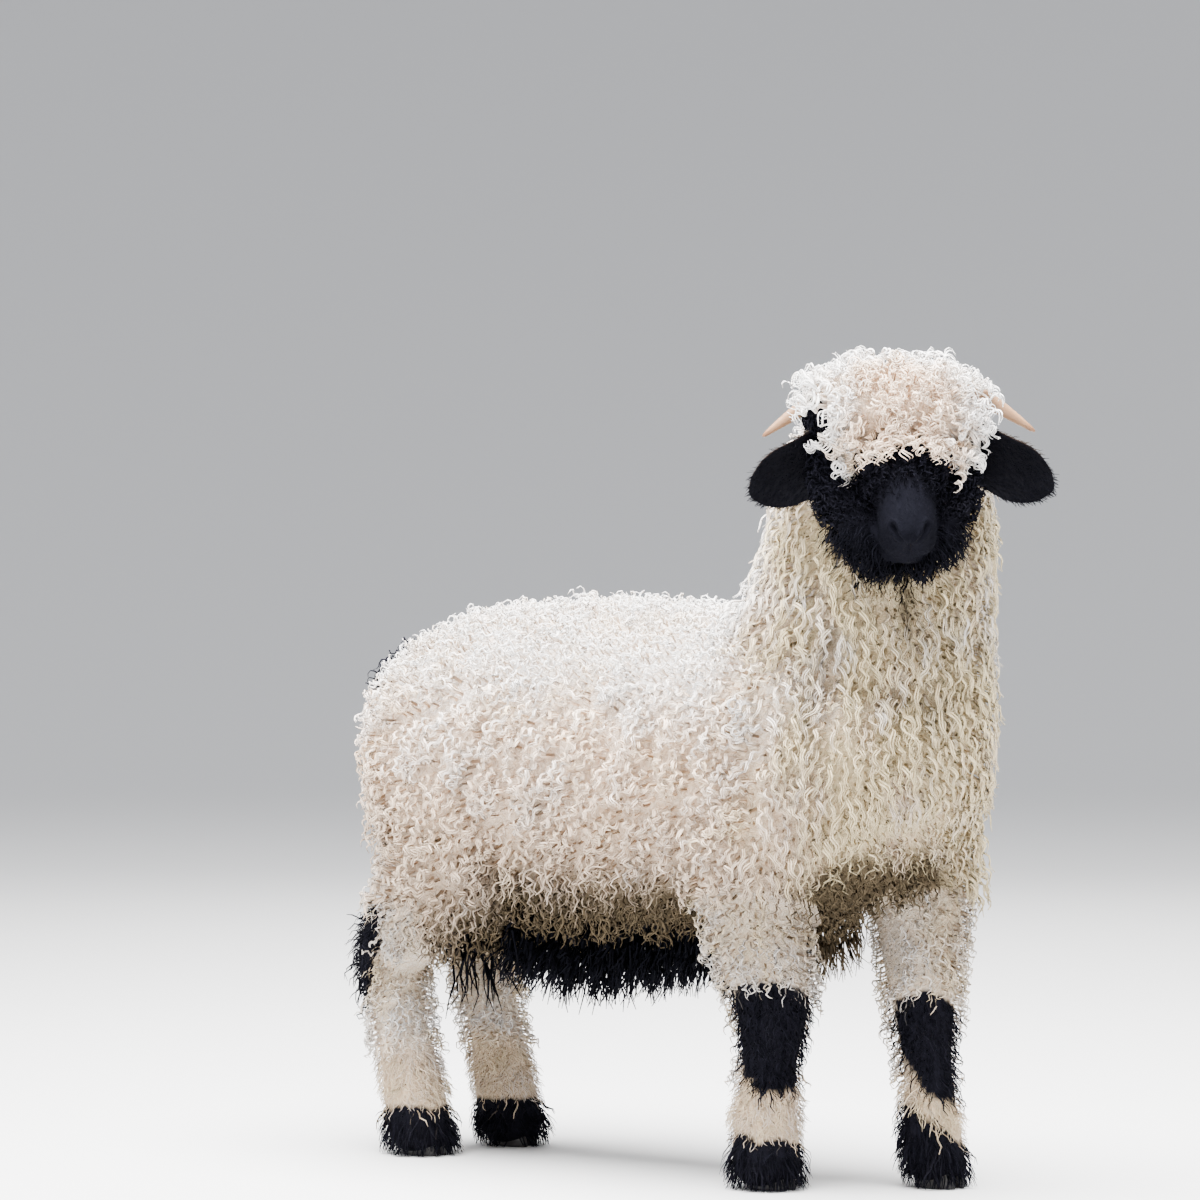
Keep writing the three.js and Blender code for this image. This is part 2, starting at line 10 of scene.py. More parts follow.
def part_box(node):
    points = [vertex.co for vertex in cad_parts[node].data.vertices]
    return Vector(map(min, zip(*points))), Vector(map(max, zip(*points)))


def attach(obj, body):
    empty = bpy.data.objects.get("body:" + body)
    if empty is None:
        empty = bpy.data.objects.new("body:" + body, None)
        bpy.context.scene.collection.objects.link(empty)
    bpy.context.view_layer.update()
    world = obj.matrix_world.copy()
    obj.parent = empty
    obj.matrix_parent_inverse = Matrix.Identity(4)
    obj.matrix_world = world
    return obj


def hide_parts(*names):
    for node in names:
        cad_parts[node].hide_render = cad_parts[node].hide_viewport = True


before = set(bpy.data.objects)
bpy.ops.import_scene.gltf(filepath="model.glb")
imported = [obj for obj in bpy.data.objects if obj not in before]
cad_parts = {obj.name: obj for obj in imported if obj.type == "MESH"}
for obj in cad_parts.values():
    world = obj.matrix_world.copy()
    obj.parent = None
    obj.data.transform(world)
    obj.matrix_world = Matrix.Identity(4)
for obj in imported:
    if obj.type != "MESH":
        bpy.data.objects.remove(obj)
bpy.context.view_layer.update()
print("frame loaded")

# Where her front feet and poll are, and how the head is turned
pose = {
    "rightHoofAt": (-0.063, -0.060),
    "pollAt": (0.112, -0.063, 0.830),
    "headYaw": -47.0,
    "headPitch": 44.0,
    "headRoll": 1.5,
}


def turned(degrees, axis):
    return Matrix.Rotation(math.radians(degrees), 4, axis)


hoofLow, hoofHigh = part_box("front_right_hoof")
hoofMiddle = (hoofLow + hoofHigh) / 2
bodyShift = Vector((hoofMiddle.x - pose["rightHoofAt"][0], hoofMiddle.y - pose["rightHoofAt"][1], 0))
bodyFrame = Matrix.Translation(bodyShift)
pollFrame = bodyFrame @ Matrix.Translation(pose["pollAt"]) @ turned(pose["headYaw"], "Z")
headFrame = pollFrame @ turned(pose["headPitch"], "Y") @ turned(pose["headRoll"], "X")


def localTo(place, points):
    # points of the world, an array, seen from a frame
    inverse = np.array(place.inverted())
    return points @ inverse[:3, :3].T + inverse[:3, 3]


def worldWay(place, way):
    # a direction of a frame, seen in the world
    return np.array(place.to_3x3() @ Vector(way).normalized())


def addPiece(name, mesh, material, nodes):
    piece = bpy.data.objects.new(name, mesh)
    bpy.context.scene.collection.objects.link(piece)
    mesh.materials.clear()
    mesh.materials.append(material)
    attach(piece, "root")
    if nodes:
        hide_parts(*nodes)
    return piece


def smoothStep(low, high, value):
    share = np.clip((value - low) / (high - low), 0, 1)
    return share * share * (3 - 2 * share)


# Forms are rows of stations: x, y, z, half width, half depth and turn about the way up
def alongStations(stations, share):
    table = np.array([tuple(s) + (0.0,) * (6 - len(s)) for s in stations])
    last = len(table) - 1
    at = min(max(share * last, 0.0), last - 1e-6)
    i = int(at)
    f = at - i
    p1, p2 = table[i], table[i + 1]
    p0 = table[i - 1] if i > 0 else 2 * p1 - p2
    p3 = table[i + 2] if i + 2 <= last else 2 * p2 - p1
    return 0.5 * (2 * p1 + (p2 - p0) * f + (2 * p0 - 5 * p1 + 4 * p2 - p3) * f**2
                  + (3 * p1 - p0 - 3 * p2 + p3) * f**3)


def mirrored(stations):
    return [(s[0], -s[1]) + tuple(s[2:5]) + tuple(-t for t in s[5:]) for s in stations]


def sweepForm(bm, stations, place, sides=24, rings=24, cap=0.12, grow=0.0, upright=None, cup=0.0):
    # rings of vertices along the stations, bridged into one closed form
    before = None
    deepFacing = Vector((1, 0, 1)).normalized()
    for k in range(1, rings):
        share = (1 - math.cos(math.pi * k / rings)) / 2
        x, y, z, wide, deep, turn = alongStations(stations, share)
        ahead = Vector(alongStations(stations, min(1, share + 0.01))[:3])
        behind = Vector(alongStations(stations, max(0, share - 0.01))[:3])
        tangent = (ahead - behind).normalized()
        side = Vector(upright) if upright else Vector((-math.sin(turn), math.cos(turn), 0))
        side = (side - tangent * side.dot(tangent)).normalized()
        other = tangent.cross(side)
        toEnd = min(share, 1 - share) / cap
        close = math.sqrt(max(1e-4, 1 - (1 - toEnd) ** 2)) if toEnd < 1 else 1.0
        reach = math.copysign(1 - toEnd, share - 0.5) * grow if toEnd < 1 else 0.0
        middle = Vector((x, y, z)) + tangent * reach
        ringFrame = Matrix.Identity(4)
        ringFrame.col[0].xyz = side * (wide + grow) * close
        ringFrame.col[1].xyz = other * (deep + grow) * close
        ringFrame.col[2].xyz = tangent
        ringFrame.col[3].xyz = middle
        ring = bmesh.ops.create_circle(bm, segments=sides, radius=1, matrix=place @ ringFrame)["verts"]
        if cup:
            bend = cup * math.sin(math.pi * min(1, share * 1.1))
            push = other * math.copysign(1, other.dot(deepFacing))
            for i, vert in enumerate(ring):
                across = math.sin(math.tau * i / sides) * close
                vert.co += place.to_3x3() @ (push * bend * across**2)
        edges = list({e for v in ring for e in v.link_edges})
        if before:
            bmesh.ops.bridge_loops(bm, edges=before + edges)
        else:
            bmesh.ops.contextual_create(bm, geom=edges)
        before = edges
    bmesh.ops.contextual_create(bm, geom=before)


def meshFrom(bm, name):
    bmesh.ops.recalc_face_normals(bm, faces=bm.faces)
    mesh = bpy.data.meshes.new(name)
    bm.to_mesh(mesh)
    bm.free()
    return mesh


# Her body under the wool
trunk = {
    "stations": [
        (-0.588, 0, 0.492, 0.062, 0.062), (-0.540, 0, 0.481, 0.104, 0.108), (-0.470, 0, 0.467, 0.120, 0.128),
        (-0.390, 0, 0.450, 0.128, 0.153), (-0.280, 0, 0.443, 0.128, 0.156), (-0.180, 0, 0.445, 0.124, 0.150),
        (-0.080, 0, 0.451, 0.116, 0.146), (0.000, 0, 0.467, 0.106, 0.124), (0.060, 0, 0.482, 0.094, 0.098),
        (0.104, 0, 0.484, 0.060, 0.062),
    ],
    "shoulder": [
        (-0.080, 0.050, 0.590, 0.030, 0.046), (-0.040, 0.060, 0.520, 0.054, 0.078),
        (0.002, 0.066, 0.440, 0.056, 0.066), (-0.004, 0.078, 0.370, 0.044, 0.052),
        (-0.008, 0.080, 0.325, 0.034, 0.040),
    ],
    "rightShoulder": [
        (-0.080, -0.050, 0.590, 0.030, 0.046), (-0.044, -0.062, 0.520, 0.052, 0.076),
        (-0.020, -0.071, 0.440, 0.052, 0.062), (-0.052, -0.080, 0.370, 0.043, 0.050),
        (-0.068, -0.083, 0.325, 0.036, 0.040),
    ],
    "brisket": [
        (0.028, 0.010, 0.690, 0.046, 0.046),
        (0.034, 0.017, 0.610, 0.066, 0.068), (0.036, 0.019, 0.530, 0.070, 0.070),
        (0.034, 0.016, 0.462, 0.064, 0.066), (0.028, 0.012, 0.418, 0.048, 0.050),
    ],
    "thigh": [
        (-0.520, 0.048, 0.575, 0.040, 0.050), (-0.512, 0.066, 0.490, 0.062, 0.088),
        (-0.490, 0.076, 0.405, 0.058, 0.080), (-0.500, 0.080, 0.335, 0.046, 0.058),
        (-0.540, 0.078, 0.280, 0.030, 0.036),
    ],
    "neck": [
        (-0.030, 0.002, 0.520, 0.086, 0.100, 0.0), (0.010, 0.004, 0.600, 0.086, 0.098, -0.10),
        (0.032, 0.002, 0.665, 0.078, 0.084, -0.30), (0.050, -0.010, 0.730, 0.072, 0.072, -0.55),
        (0.066, -0.024, 0.790, 0.064, 0.062, -0.75), (0.076, -0.030, 0.840, 0.046, 0.044, -0.80),
    ],
    "tail": [
        (-0.600, 0, 0.566, 0.022, 0.018), (-0.650, 0, 0.530, 0.024, 0.016), (-0.664, 0, 0.460, 0.024, 0.012),
        (-0.666, 0, 0.390, 0.022, 0.010), (-0.664, 0, 0.335, 0.014, 0.008),
    ],
    "bodyGrow": 0.026,
    "neckGrow": 0.028,
    "tailGrow": 0.010,
}
legs = {
    "front_left": {
        "joints": [(0.030, 0.078, 0.345), (0.050, 0.065, 0.198), (0.057, 0.069, 0.076), (0.061, 0.072, 0.030)],
        "radii": (0.040, 0.022, 0.018, 0.025), "grow": 0.013,
        "patchWay": -28, "patchHalf": 100, "patchLow": 0.098, "patchHigh": 0.216, "footTop": 0.074,
        "patchSlant": 0.014, "footLean": 0.024,
    },
    "front_right": {
        "joints": [(-0.076, -0.084, 0.345), (-0.066, -0.056, 0.198),
                   (-0.073, -0.059, 0.076), (-0.071, -0.060, 0.030)],
        "radii": (0.042, 0.024, 0.019, 0.028), "grow": 0.016,
        "patchWay": -42, "patchHalf": 116, "patchLow": 0.108, "patchHigh": 0.232, "footTop": 0.058,
        "patchSlant": 0.004, "footLean": 0.006,
    },
    "hind_left": {
        "joints": [(-0.520, 0.080, 0.318), (-0.600, 0.072, 0.225),
                   (-0.566, 0.069, 0.076), (-0.556, 0.070, 0.030)],
        "radii": (0.040, 0.024, 0.019, 0.027), "grow": 0.016,
        "patchWay": 160, "patchHalf": 80, "patchLow": 0.170, "patchHigh": 0.290, "footTop": 0.058,
        "patchSlant": 0.0, "footLean": 0.0,
    },
    "hind_right": {
        "joints": [(-0.534, -0.078, 0.318), (-0.618, -0.070, 0.225),
                   (-0.586, -0.067, 0.076), (-0.577, -0.066, 0.030)],
        "radii": (0.040, 0.024, 0.019, 0.027), "grow": 0.016,
        "patchWay": -160, "patchHalf": 80, "patchLow": 0.170, "patchHigh": 0.290, "footTop": 0.058,
        "patchSlant": 0.0, "footLean": 0.0,
    },
}
shankRadius = 0.014


def between(start, end, share):
    return tuple(a + (b - a) * share for a, b in zip(start, end))


def legStations(leg):
    top, middle, fetlock, coronet = leg["joints"]
    topR, middleR, fetlockR, coronetR = leg["radii"]
    rows = [
        (between(top, middle, -0.35), topR), (top, topR), (between(top, middle, 0.55), (topR + middleR) / 2),
        (middle, middleR), (between(middle, fetlock, 0.5), shankRadius), (fetlock, fetlockR),
        (coronet, coronetR * 0.80), ((coronet[0], coronet[1], 0.016), coronetR * 0.70),
    ]
    return [tuple(point) + (radius, radius) for point, radius in rows]


# Her head: skull and muzzle in the pitched head frame, crown and cheeks in the upright poll frame
headForm = {
    "skull": [
        (-0.060, 0, 0.004, 0.030, 0.030), (-0.036, 0, 0.002, 0.050, 0.046), (0.000, 0, 0.000, 0.054, 0.052),
        (0.040, 0, -0.004, 0.047, 0.049), (0.078, 0, -0.011, 0.037, 0.041), (0.110, 0, -0.015, 0.031, 0.035),
        (0.136, 0, -0.018, 0.031, 0.032), (0.156, 0, -0.019, 0.024, 0.025),
    ],
    "lips": [
        (0.116, 0.016, -0.028, 0.015, 0.014), (0.138, 0.015, -0.029, 0.016, 0.014),
        (0.158, 0.010, -0.028, 0.010, 0.010),
    ],
    "chin": [
        (0.084, 0, -0.044, 0.021, 0.015), (0.124, 0, -0.051, 0.020, 0.014), (0.150, 0, -0.051, 0.014, 0.011),
    ],
    "nose": [
        (0.122, 0, 0.002, 0.019, 0.011), (0.148, 0, -0.004, 0.018, 0.012), (0.161, 0, -0.012, 0.012, 0.009),
    ],
    "cheek": [
        (-0.004, 0.062, 0.006, 0.018, 0.018), (0.002, 0.062, -0.030, 0.020, 0.020),
        (0.020, 0.058, -0.066, 0.023, 0.023), (0.036, 0.038, -0.108, 0.024, 0.024),
        (0.044, 0.000, -0.134, 0.024, 0.024),
    ],
    "rightCheek": [
        (-0.004, -0.070, 0.006, 0.020, 0.020), (0.000, -0.075, -0.030, 0.022, 0.022),
        (0.014, -0.068, -0.066, 0.024, 0.024), (0.034, -0.042, -0.108, 0.024, 0.024),
        (0.044, 0.000, -0.134, 0.024, 0.024),
    ],
    "crownAt": (-0.002, -0.008, 0.020),
    "crownSize": (0.070, 0.092, 0.044),
    "eyeAt": (0.060, 0.039, 0.012),
    "eyeRadius": 0.0125,
    "nostril": [(0.148, 0.020, 0.002), (0.158, 0.016, -0.004), (0.163, 0.008, -0.012)],
    "mouth": [(0.100, 0.032, -0.037), (0.122, 0.031, -0.041), (0.146, 0.023, -0.043), (0.162, 0.0, -0.041)],
}
skinLook = {
    "voxel": 0.0058, "smoothShare": 0.5, "smoothRounds": 6,
    "faceFront": 0.020, "muzzleFront": 0.085, "faceHalf": 0.062, "faceDepth": 0.075, "eyeReach": 0.026,
}
# The grooves of the muzzle, each with a rolled rim beside it, and the lids
faceLook = {
    "nostril": {"depth": 0.0065, "edge": (0.0015, 0.005), "rim": 0.0018, "rimAt": 0.0065, "rimWidth": 0.0022},
    "mouth": {"depth": 0.0030, "edge": (0.0006, 0.0032), "rim": 0.0012, "rimAt": 0.0055, "rimWidth": 0.0025},
    "philtrum": {"depth": 0.0022, "width": 0.0016, "front": 0.140, "top": -0.012, "bottom": -0.036},
    "gaze": (0.42, 0.90, 0.12),
    "eyeLevel": (0.90, -0.42, -0.12),
    "lid": {"halfLength": 0.0105, "halfHeight": 0.0066, "lowerLess": 0.0014, "thick": 0.0022, "reach": 1.25,
            "roll": 0.0016, "rollAt": 1.12, "rollWidth": 0.16, "behind": 0.006, "sunk": 0.003},
}


def distanceToPath(points, path):
    best = np.full(len(points), 1e9)
    for a, b in zip(path[:-1], path[1:]):
        a, b = np.array(a), np.array(b)
        share = np.clip(((points - a) @ (b - a)) / ((b - a) @ (b - a)), 0, 1)
        best = np.minimum(best, np.linalg.norm(points - a - share[:, None] * (b - a), axis=1))
    return best


def buildSkinMesh():
    bm = bmesh.new()
    sweepForm(bm, trunk["stations"], bodyFrame, sides=40, rings=40, cap=0.1, grow=trunk["bodyGrow"])
    for stations in (trunk["shoulder"], trunk["rightShoulder"], trunk["thigh"], mirrored(trunk["thigh"])):
        sweepForm(bm, stations, bodyFrame, cap=0.2, grow=trunk["bodyGrow"] - 0.003)
    sweepForm(bm, trunk["brisket"], bodyFrame, sides=32, cap=0.2, grow=trunk["bodyGrow"])
    sweepForm(bm, trunk["neck"], bodyFrame, sides=32, cap=0.12, grow=trunk["neckGrow"])
    for leg in legs.values():
        sweepForm(bm, legStations(leg), bodyFrame, rings=32, cap=0.02, grow=leg["grow"])
    sweepForm(bm, trunk["tail"], bodyFrame, sides=16, cap=0.15, grow=trunk["tailGrow"])
    crownPlace = Matrix.Translation(headForm["crownAt"])
    crownFrame = pollFrame @ crownPlace @ Matrix.Diagonal((*headForm["crownSize"], 1))
    bmesh.ops.create_uvsphere(bm, u_segments=32, v_segments=16, radius=1, matrix=crownFrame)
    sweepForm(bm, headForm["skull"], headFrame, cap=0.1)
    sweepForm(bm, headForm["nose"], headFrame, cap=0.3)
    sweepForm(bm, headForm["chin"], headFrame, cap=0.3)
    for stations in (headForm["lips"], mirrored(headForm["lips"])):
        sweepForm(bm, stations, headFrame, cap=0.3)
    for stations in (headForm["cheek"], headForm["rightCheek"]):
        sweepForm(bm, stations, pollFrame, sides=16, cap=0.1)
    bmesh.ops.recalc_face_normals(bm, faces=bm.faces)
    rough = bpy.data.meshes.new("roughBody")
    bm.to_mesh(rough)
    bm.free()
    holder = bpy.data.objects.new("roughBody", rough)
    bpy.context.scene.collection.objects.link(holder)
    remesh = holder.modifiers.new("voxels", "REMESH")
    remesh.mode = "VOXEL"
    remesh.voxel_size = skinLook["voxel"]
    smooth = holder.modifiers.new("smooth", "SMOOTH")
    smooth.factor = skinLook["smoothShare"]
    smooth.iterations = skinLook["smoothRounds"]
    settled = bpy.data.meshes.new_from_object(holder.evaluated_get(bpy.context.evaluated_depsgraph_get()))
    bpy.data.objects.remove(holder)
    return settled


def refineFace(bm):
    # smaller faces on the face, and smaller again on the muzzle and round the eyes
    toHead = headFrame.inverted()
    eyeX, eyeY, eyeZ = headForm["eyeAt"]
    for front in (skinLook["faceFront"], skinLook["muzzleFront"]):
        chosen = []
        for edge in bm.edges:
            p = toHead @ ((edge.verts[0].co + edge.verts[1].co) / 2)
            fromEye = (p - Vector((eyeX, math.copysign(eyeY, p.y), eyeZ))).length
            onFace = abs(p.y) < skinLook["faceHalf"] and abs(p.z) < skinLook["faceDepth"]
            if onFace and (p.x > front or fromEye < skinLook["eyeReach"]):
                chosen.append(edge)
        bmesh.ops.subdivide_edges(bm, edges=chosen, cuts=1, use_grid_fill=True)
        faceVerts = [v for v in bm.verts if (toHead @ v.co).x > front - 0.01]
        for _ in range(2):
            bmesh.ops.smooth_vert(bm, verts=faceVerts, factor=0.5,
                                  use_axis_x=True, use_axis_y=True, use_axis_z=True)
    bm.normal_update()


def muzzleDepth(p):
    # how deep the skin is pressed in at each point of the head frame
    folded = p.copy()
    folded[:, 1] = np.abs(folded[:, 1])
    depth = np.zeros(len(p))
    for name in ("nostril", "mouth"):
        groove = faceLook[name]
        away = distanceToPath(folded, headForm[name])
        depth += groove["depth"] * (1 - smoothStep(*groove["edge"], away))
        depth -= groove["rim"] * np.exp(-((away - groove["rimAt"]) / groove["rimWidth"]) ** 2)
    groove = faceLook["philtrum"]
    onGroove = (p[:, 0] > groove["front"]) & (p[:, 2] < groove["top"]) & (p[:, 2] > groove["bottom"])
    depth += np.where(onGroove, groove["depth"] * np.exp(-(p[:, 1] / groove["width"]) ** 2), 0)
    return depth


def closeLids(world, side):
    # lids close over the eyeball but for an almond between them
    lid = faceLook["lid"]
    eyeRadius = headForm["eyeRadius"]
    toSide = np.array((1, side, 1))
    gaze = np.array(faceLook["gaze"]) * toSide
    gaze /= np.linalg.norm(gaze)
    level = np.array(faceLook["eyeLevel"]) * toSide
    level -= gaze * (level @ gaze)
    level /= np.linalg.norm(level)
    rise = np.cross(gaze, level) * side
    rise *= math.copysign(1, rise[2])
    offset = localTo(headFrame, world) - np.array(headForm["eyeAt"]) * toSide
    forward, along, up = offset @ gaze, offset @ level, offset @ rise
    across = np.hypot(along, up)
    near = (forward > -lid["behind"]) & (across < eyeRadius * 2.0)
    almond = np.hypot(along / lid["halfLength"], up / (lid["halfHeight"] - lid["lowerLess"] * (up < 0)))
    isOpen = near & (almond < 1)
    onLid = near & ~isOpen & (across < eyeRadius * lid["reach"])
    roll = lid["roll"] * np.exp(-((almond - lid["rollAt"]) / lid["rollWidth"]) ** 2)
    lidBulge = eyeRadius + lid["thick"] + roll
    target = np.sqrt(np.maximum(lidBulge**2 - across**2, 1e-8))
    blend = 1 - smoothStep(eyeRadius * 0.95, eyeRadius * lid["reach"], across)
    sunken = np.sqrt(np.maximum((eyeRadius - lid["sunk"]) ** 2 - across**2, 0))
    move = np.zeros(len(world))
    move[onLid] = ((np.maximum(target, 0.004) - forward) * blend)[onLid]
    move[isOpen] = (sunken - forward)[isOpen]
    return world + (move[:, None] * gaze) @ np.array(headFrame.to_3x3()).T


def shapeFace(mesh):
    bm = bmesh.new()
    bm.from_mesh(mesh)
    refineFace(bm)
    world = np.array([v.co for v in bm.verts])
    normals = np.array([v.normal for v in bm.verts])
    world -= normals * muzzleDepth(localTo(headFrame, world))[:, None]
    for side in (1, -1):
        world = closeLids(world, side)
    for vert, co in zip(bm.verts, world):
        vert.co = co
    bm.to_mesh(mesh)
    bm.free()
    mesh.update()


def smoothed(mesh):
    mesh.polygons.foreach_set("use_smooth", np.ones(len(mesh.polygons), bool))
    return mesh


skinMesh = buildSkinMesh()
shapeFace(skinMesh)
smoothed(skinMesh)
print("skin shaped:", len(skinMesh.polygons), "faces")

# Where the wool is black, from the shapes of the skin alone: metres, and degrees round a leg
marking = {
    "faceForward": (0.97, 0, 0.24),
    "faceFoot": (-0.013, 0, -0.0752),
    "faceBottom": -0.205,
    "hemMiddle": -0.012,
    "hemSide": -0.036,
    "hemEar": 0.066,
    "ragged": 0.004,
    "raggedSide": 0.7,
    "waver": 0.0032,
    "edge": 0.0015,
    "bellyBack": -0.490,
    "bellyFront": -0.130,
    "bellyFacing": 0.87,
    "tailAt": (-0.655, 0, 0.560),
    "tailSpot": 0.034,
    "leanWay": -140,
    "thinWay": -112,
    "thinHalfWay": 42,
    "thinHeight": 0.272,
    "thinHalfHeight": 0.046,
    "thinDark": 0.34,
}
neckPlane = {"foot": (-0.130, 0, 0.655), "up": (0.1, 0, 0.3)}
legSpan = {"frontTop": 0.330, "hindTop": 0.300, "reach": 0.072}
barrelEnds = (-0.430, -0.135)
tailFront = -0.646
edgeWaver = {"waves": 14, "steep": 170, "calm": 3.4, "seed": 97}

markChance = np.random.default_rng(edgeWaver["seed"])
edgeWaves = markChance.normal(size=(3, edgeWaver["waves"])) * edgeWaver["steep"]
edgePhases = markChance.random(edgeWaver["waves"]) * math.tau


def wavering(p):
    # a slow random value of place, about -1 to 1
    return np.sin(p @ edgeWaves + edgePhases).sum(1) / edgeWaver["calm"]


def turnFrom(way, middle):
    # degrees round a leg from a middle way, -180 to 180
    return (way - middle + 180) % 360 - 180


def nearestLeg(p):
    # the leg that each point of the body frame is on, or -1, and its way round that leg in degrees
    index = np.full(len(p), -1)
    way = np.zeros(len(p))
    best = np.full(len(p), legSpan["reach"])
    for i, (name, leg) in enumerate(legs.items()):
        xs, ys, heights = np.array(leg["joints"])[::-1].T
        dx = p[:, 0] - np.interp(p[:, 2], heights, xs)
        dy = p[:, 1] - np.interp(p[:, 2], heights, ys)
        top = legSpan["frontTop"] if name.startswith("front") else legSpan["hindTop"]
        away = np.hypot(dx, dy)
        near = (away < best) & (p[:, 2] < top)
        index[near] = i
        best[near] = away[near]
        way[near] = np.degrees(np.arctan2(dy, dx))[near]
    return index, way


def readPlaces(world, normals):
    # each point in the three frames, and how far it is past each border
    p = localTo(bodyFrame, world)
    q = localTo(pollFrame, world)
    h = localTo(headFrame, world)
    legIndex, legWay = nearestLeg(p)
    forward = np.array(Vector(marking["faceForward"]).normalized())
    inFront = (q - np.array(marking["faceFoot"])) @ forward
    aside = np.abs(q[:, 1])
    hem = marking["hemMiddle"] + (marking["hemSide"] - marking["hemMiddle"]) * smoothStep(0.02, 0.075, aside)
    hem += marking["hemEar"] * smoothStep(0.066, 0.088, aside)
    overNeck = (p - np.array(neckPlane["foot"])) @ np.array(Vector(neckPlane["up"]).normalized())
    footTops = np.array([leg["footTop"] for leg in legs.values()] + [-1.0])[legIndex]
    footLeans = np.array([leg["footLean"] for leg in legs.values()] + [0.0])[legIndex]
    overFoot = footTops + footLeans * np.cos(np.radians(legWay - marking["leanWay"])) - p[:, 2]
    # the thin wool inside the left foreleg
    thinTurn = turnFrom(legWay, marking["thinWay"]) / marking["thinHalfWay"]
    fromThin = np.hypot(thinTurn, (p[:, 2] - marking["thinHeight"]) / marking["thinHalfHeight"])
    thinLegs = (legIndex == 0) & (p[:, 2] > 0.18)
    return {
        "p": p, "q": q, "h": h, "normals": normals, "leg": legIndex, "way": legWay,
        "face": inFront, "overHem": q[:, 2] - hem, "overNeck": overNeck, "overFoot": overFoot,
        "thin": np.where(thinLegs, 1 - smoothStep(0.5, 1.3, fromThin), 0.0),
    }


def headRegions(place):
    # which points are on the topknot and which are on the black face
    q, above = place["q"], place["overNeck"] > 0
    onCrown = (place["overHem"] > 0) & (q[:, 2] > -0.055) & above
    onFace = (place["face"] > -0.007) & (place["overHem"] <= 0) & (q[:, 2] > -0.21) & above
    return onCrown, onFace


def blackAt(place, rough):
    # 1 where the wool is black and 0 where it is white; rough pushes each point across the edge by chance
    p, q = place["p"], place["q"]
    waver = wavering(p) * marking["waver"]
    black = np.minimum(place["face"], 0.004 - place["overHem"])
    black = np.where((q[:, 2] < marking["faceBottom"]) | (place["overNeck"] < 0), -1, black)
    ragged = np.where(black > -0.03, 1 + marking["raggedSide"] * smoothStep(0.055, 0.080, np.abs(q[:, 1])), 1)
    under = np.minimum(p[:, 0] - marking["bellyBack"], marking["bellyFront"] - p[:, 0])
    under = np.minimum(under, (-place["normals"][:, 2] - marking["bellyFacing"]) * 0.1)
    black = np.maximum(black, np.where((place["leg"] < 0) & (p[:, 2] < 0.4), under, -1))
    for i, leg in enumerate(legs.values()):
        half = (leg["patchHigh"] - leg["patchLow"]) / 2
        turn = turnFrom(place["way"], leg["patchWay"])
        height = p[:, 2] + leg["patchSlant"] * turn / 90
        patch = (1 - np.hypot((height - leg["patchLow"] - half) / half, turn / leg["patchHalf"])) * half
        black = np.where(place["leg"] == i, np.maximum(patch, place["overFoot"]), black)
    fromTail = np.linalg.norm((p - np.array(marking["tailAt"])) * np.array((1, 1, 0.8)), axis=1)
    black = np.maximum(black, np.where(p[:, 0] < -0.60, marking["tailSpot"] - fromTail, -1))
    black = black + waver + rough * ragged * marking["ragged"]
    black = smoothStep(-marking["edge"], marking["edge"], black)
    return np.maximum(black, marking["thinDark"] * place["thin"])


def writeFloats(mesh, name, values):
    layer = mesh.attributes.new(name, "FLOAT", "POINT")
    layer.data.foreach_set("value", np.asarray(values, dtype=np.float32))


# How strong each tone of the white wool is: warm is peach, straw is yellow, and shade is painted shade in
# brown, with a few real stains
toneLook = {
    "warmTop": 0.15, "warmSide": 0.45, "warmLow": 0.4, "warmLeg": 0.45, "warmFetlock": 0.35,
    "strawChest": 0.20, "strawFront": 0.62, "strawPatches": 0.35, "strawLeg": 0.30,
    "shadeBelly": 0.40, "shadeFringe": 0.40, "shadeArmpit": 0.78, "shadeLow": 0.36, "shadeShoulder": 0.14,
    "shadeChest": 0.27, "shadeLeg": 0.28, "shadeUpperLeg": 0.16, "shadeMuzzle": 0.85, "shadeStain": 0.6,
    "acrossChest": (0.766, 0.643),
    "stains": [
        (0.118, -0.061, 0.652, 0.009, 0.030), (0.050, -0.104, 0.604, 0.008, 0.018),
        (0.039, -0.116, 0.536, 0.008, 0.014),
    ],
}


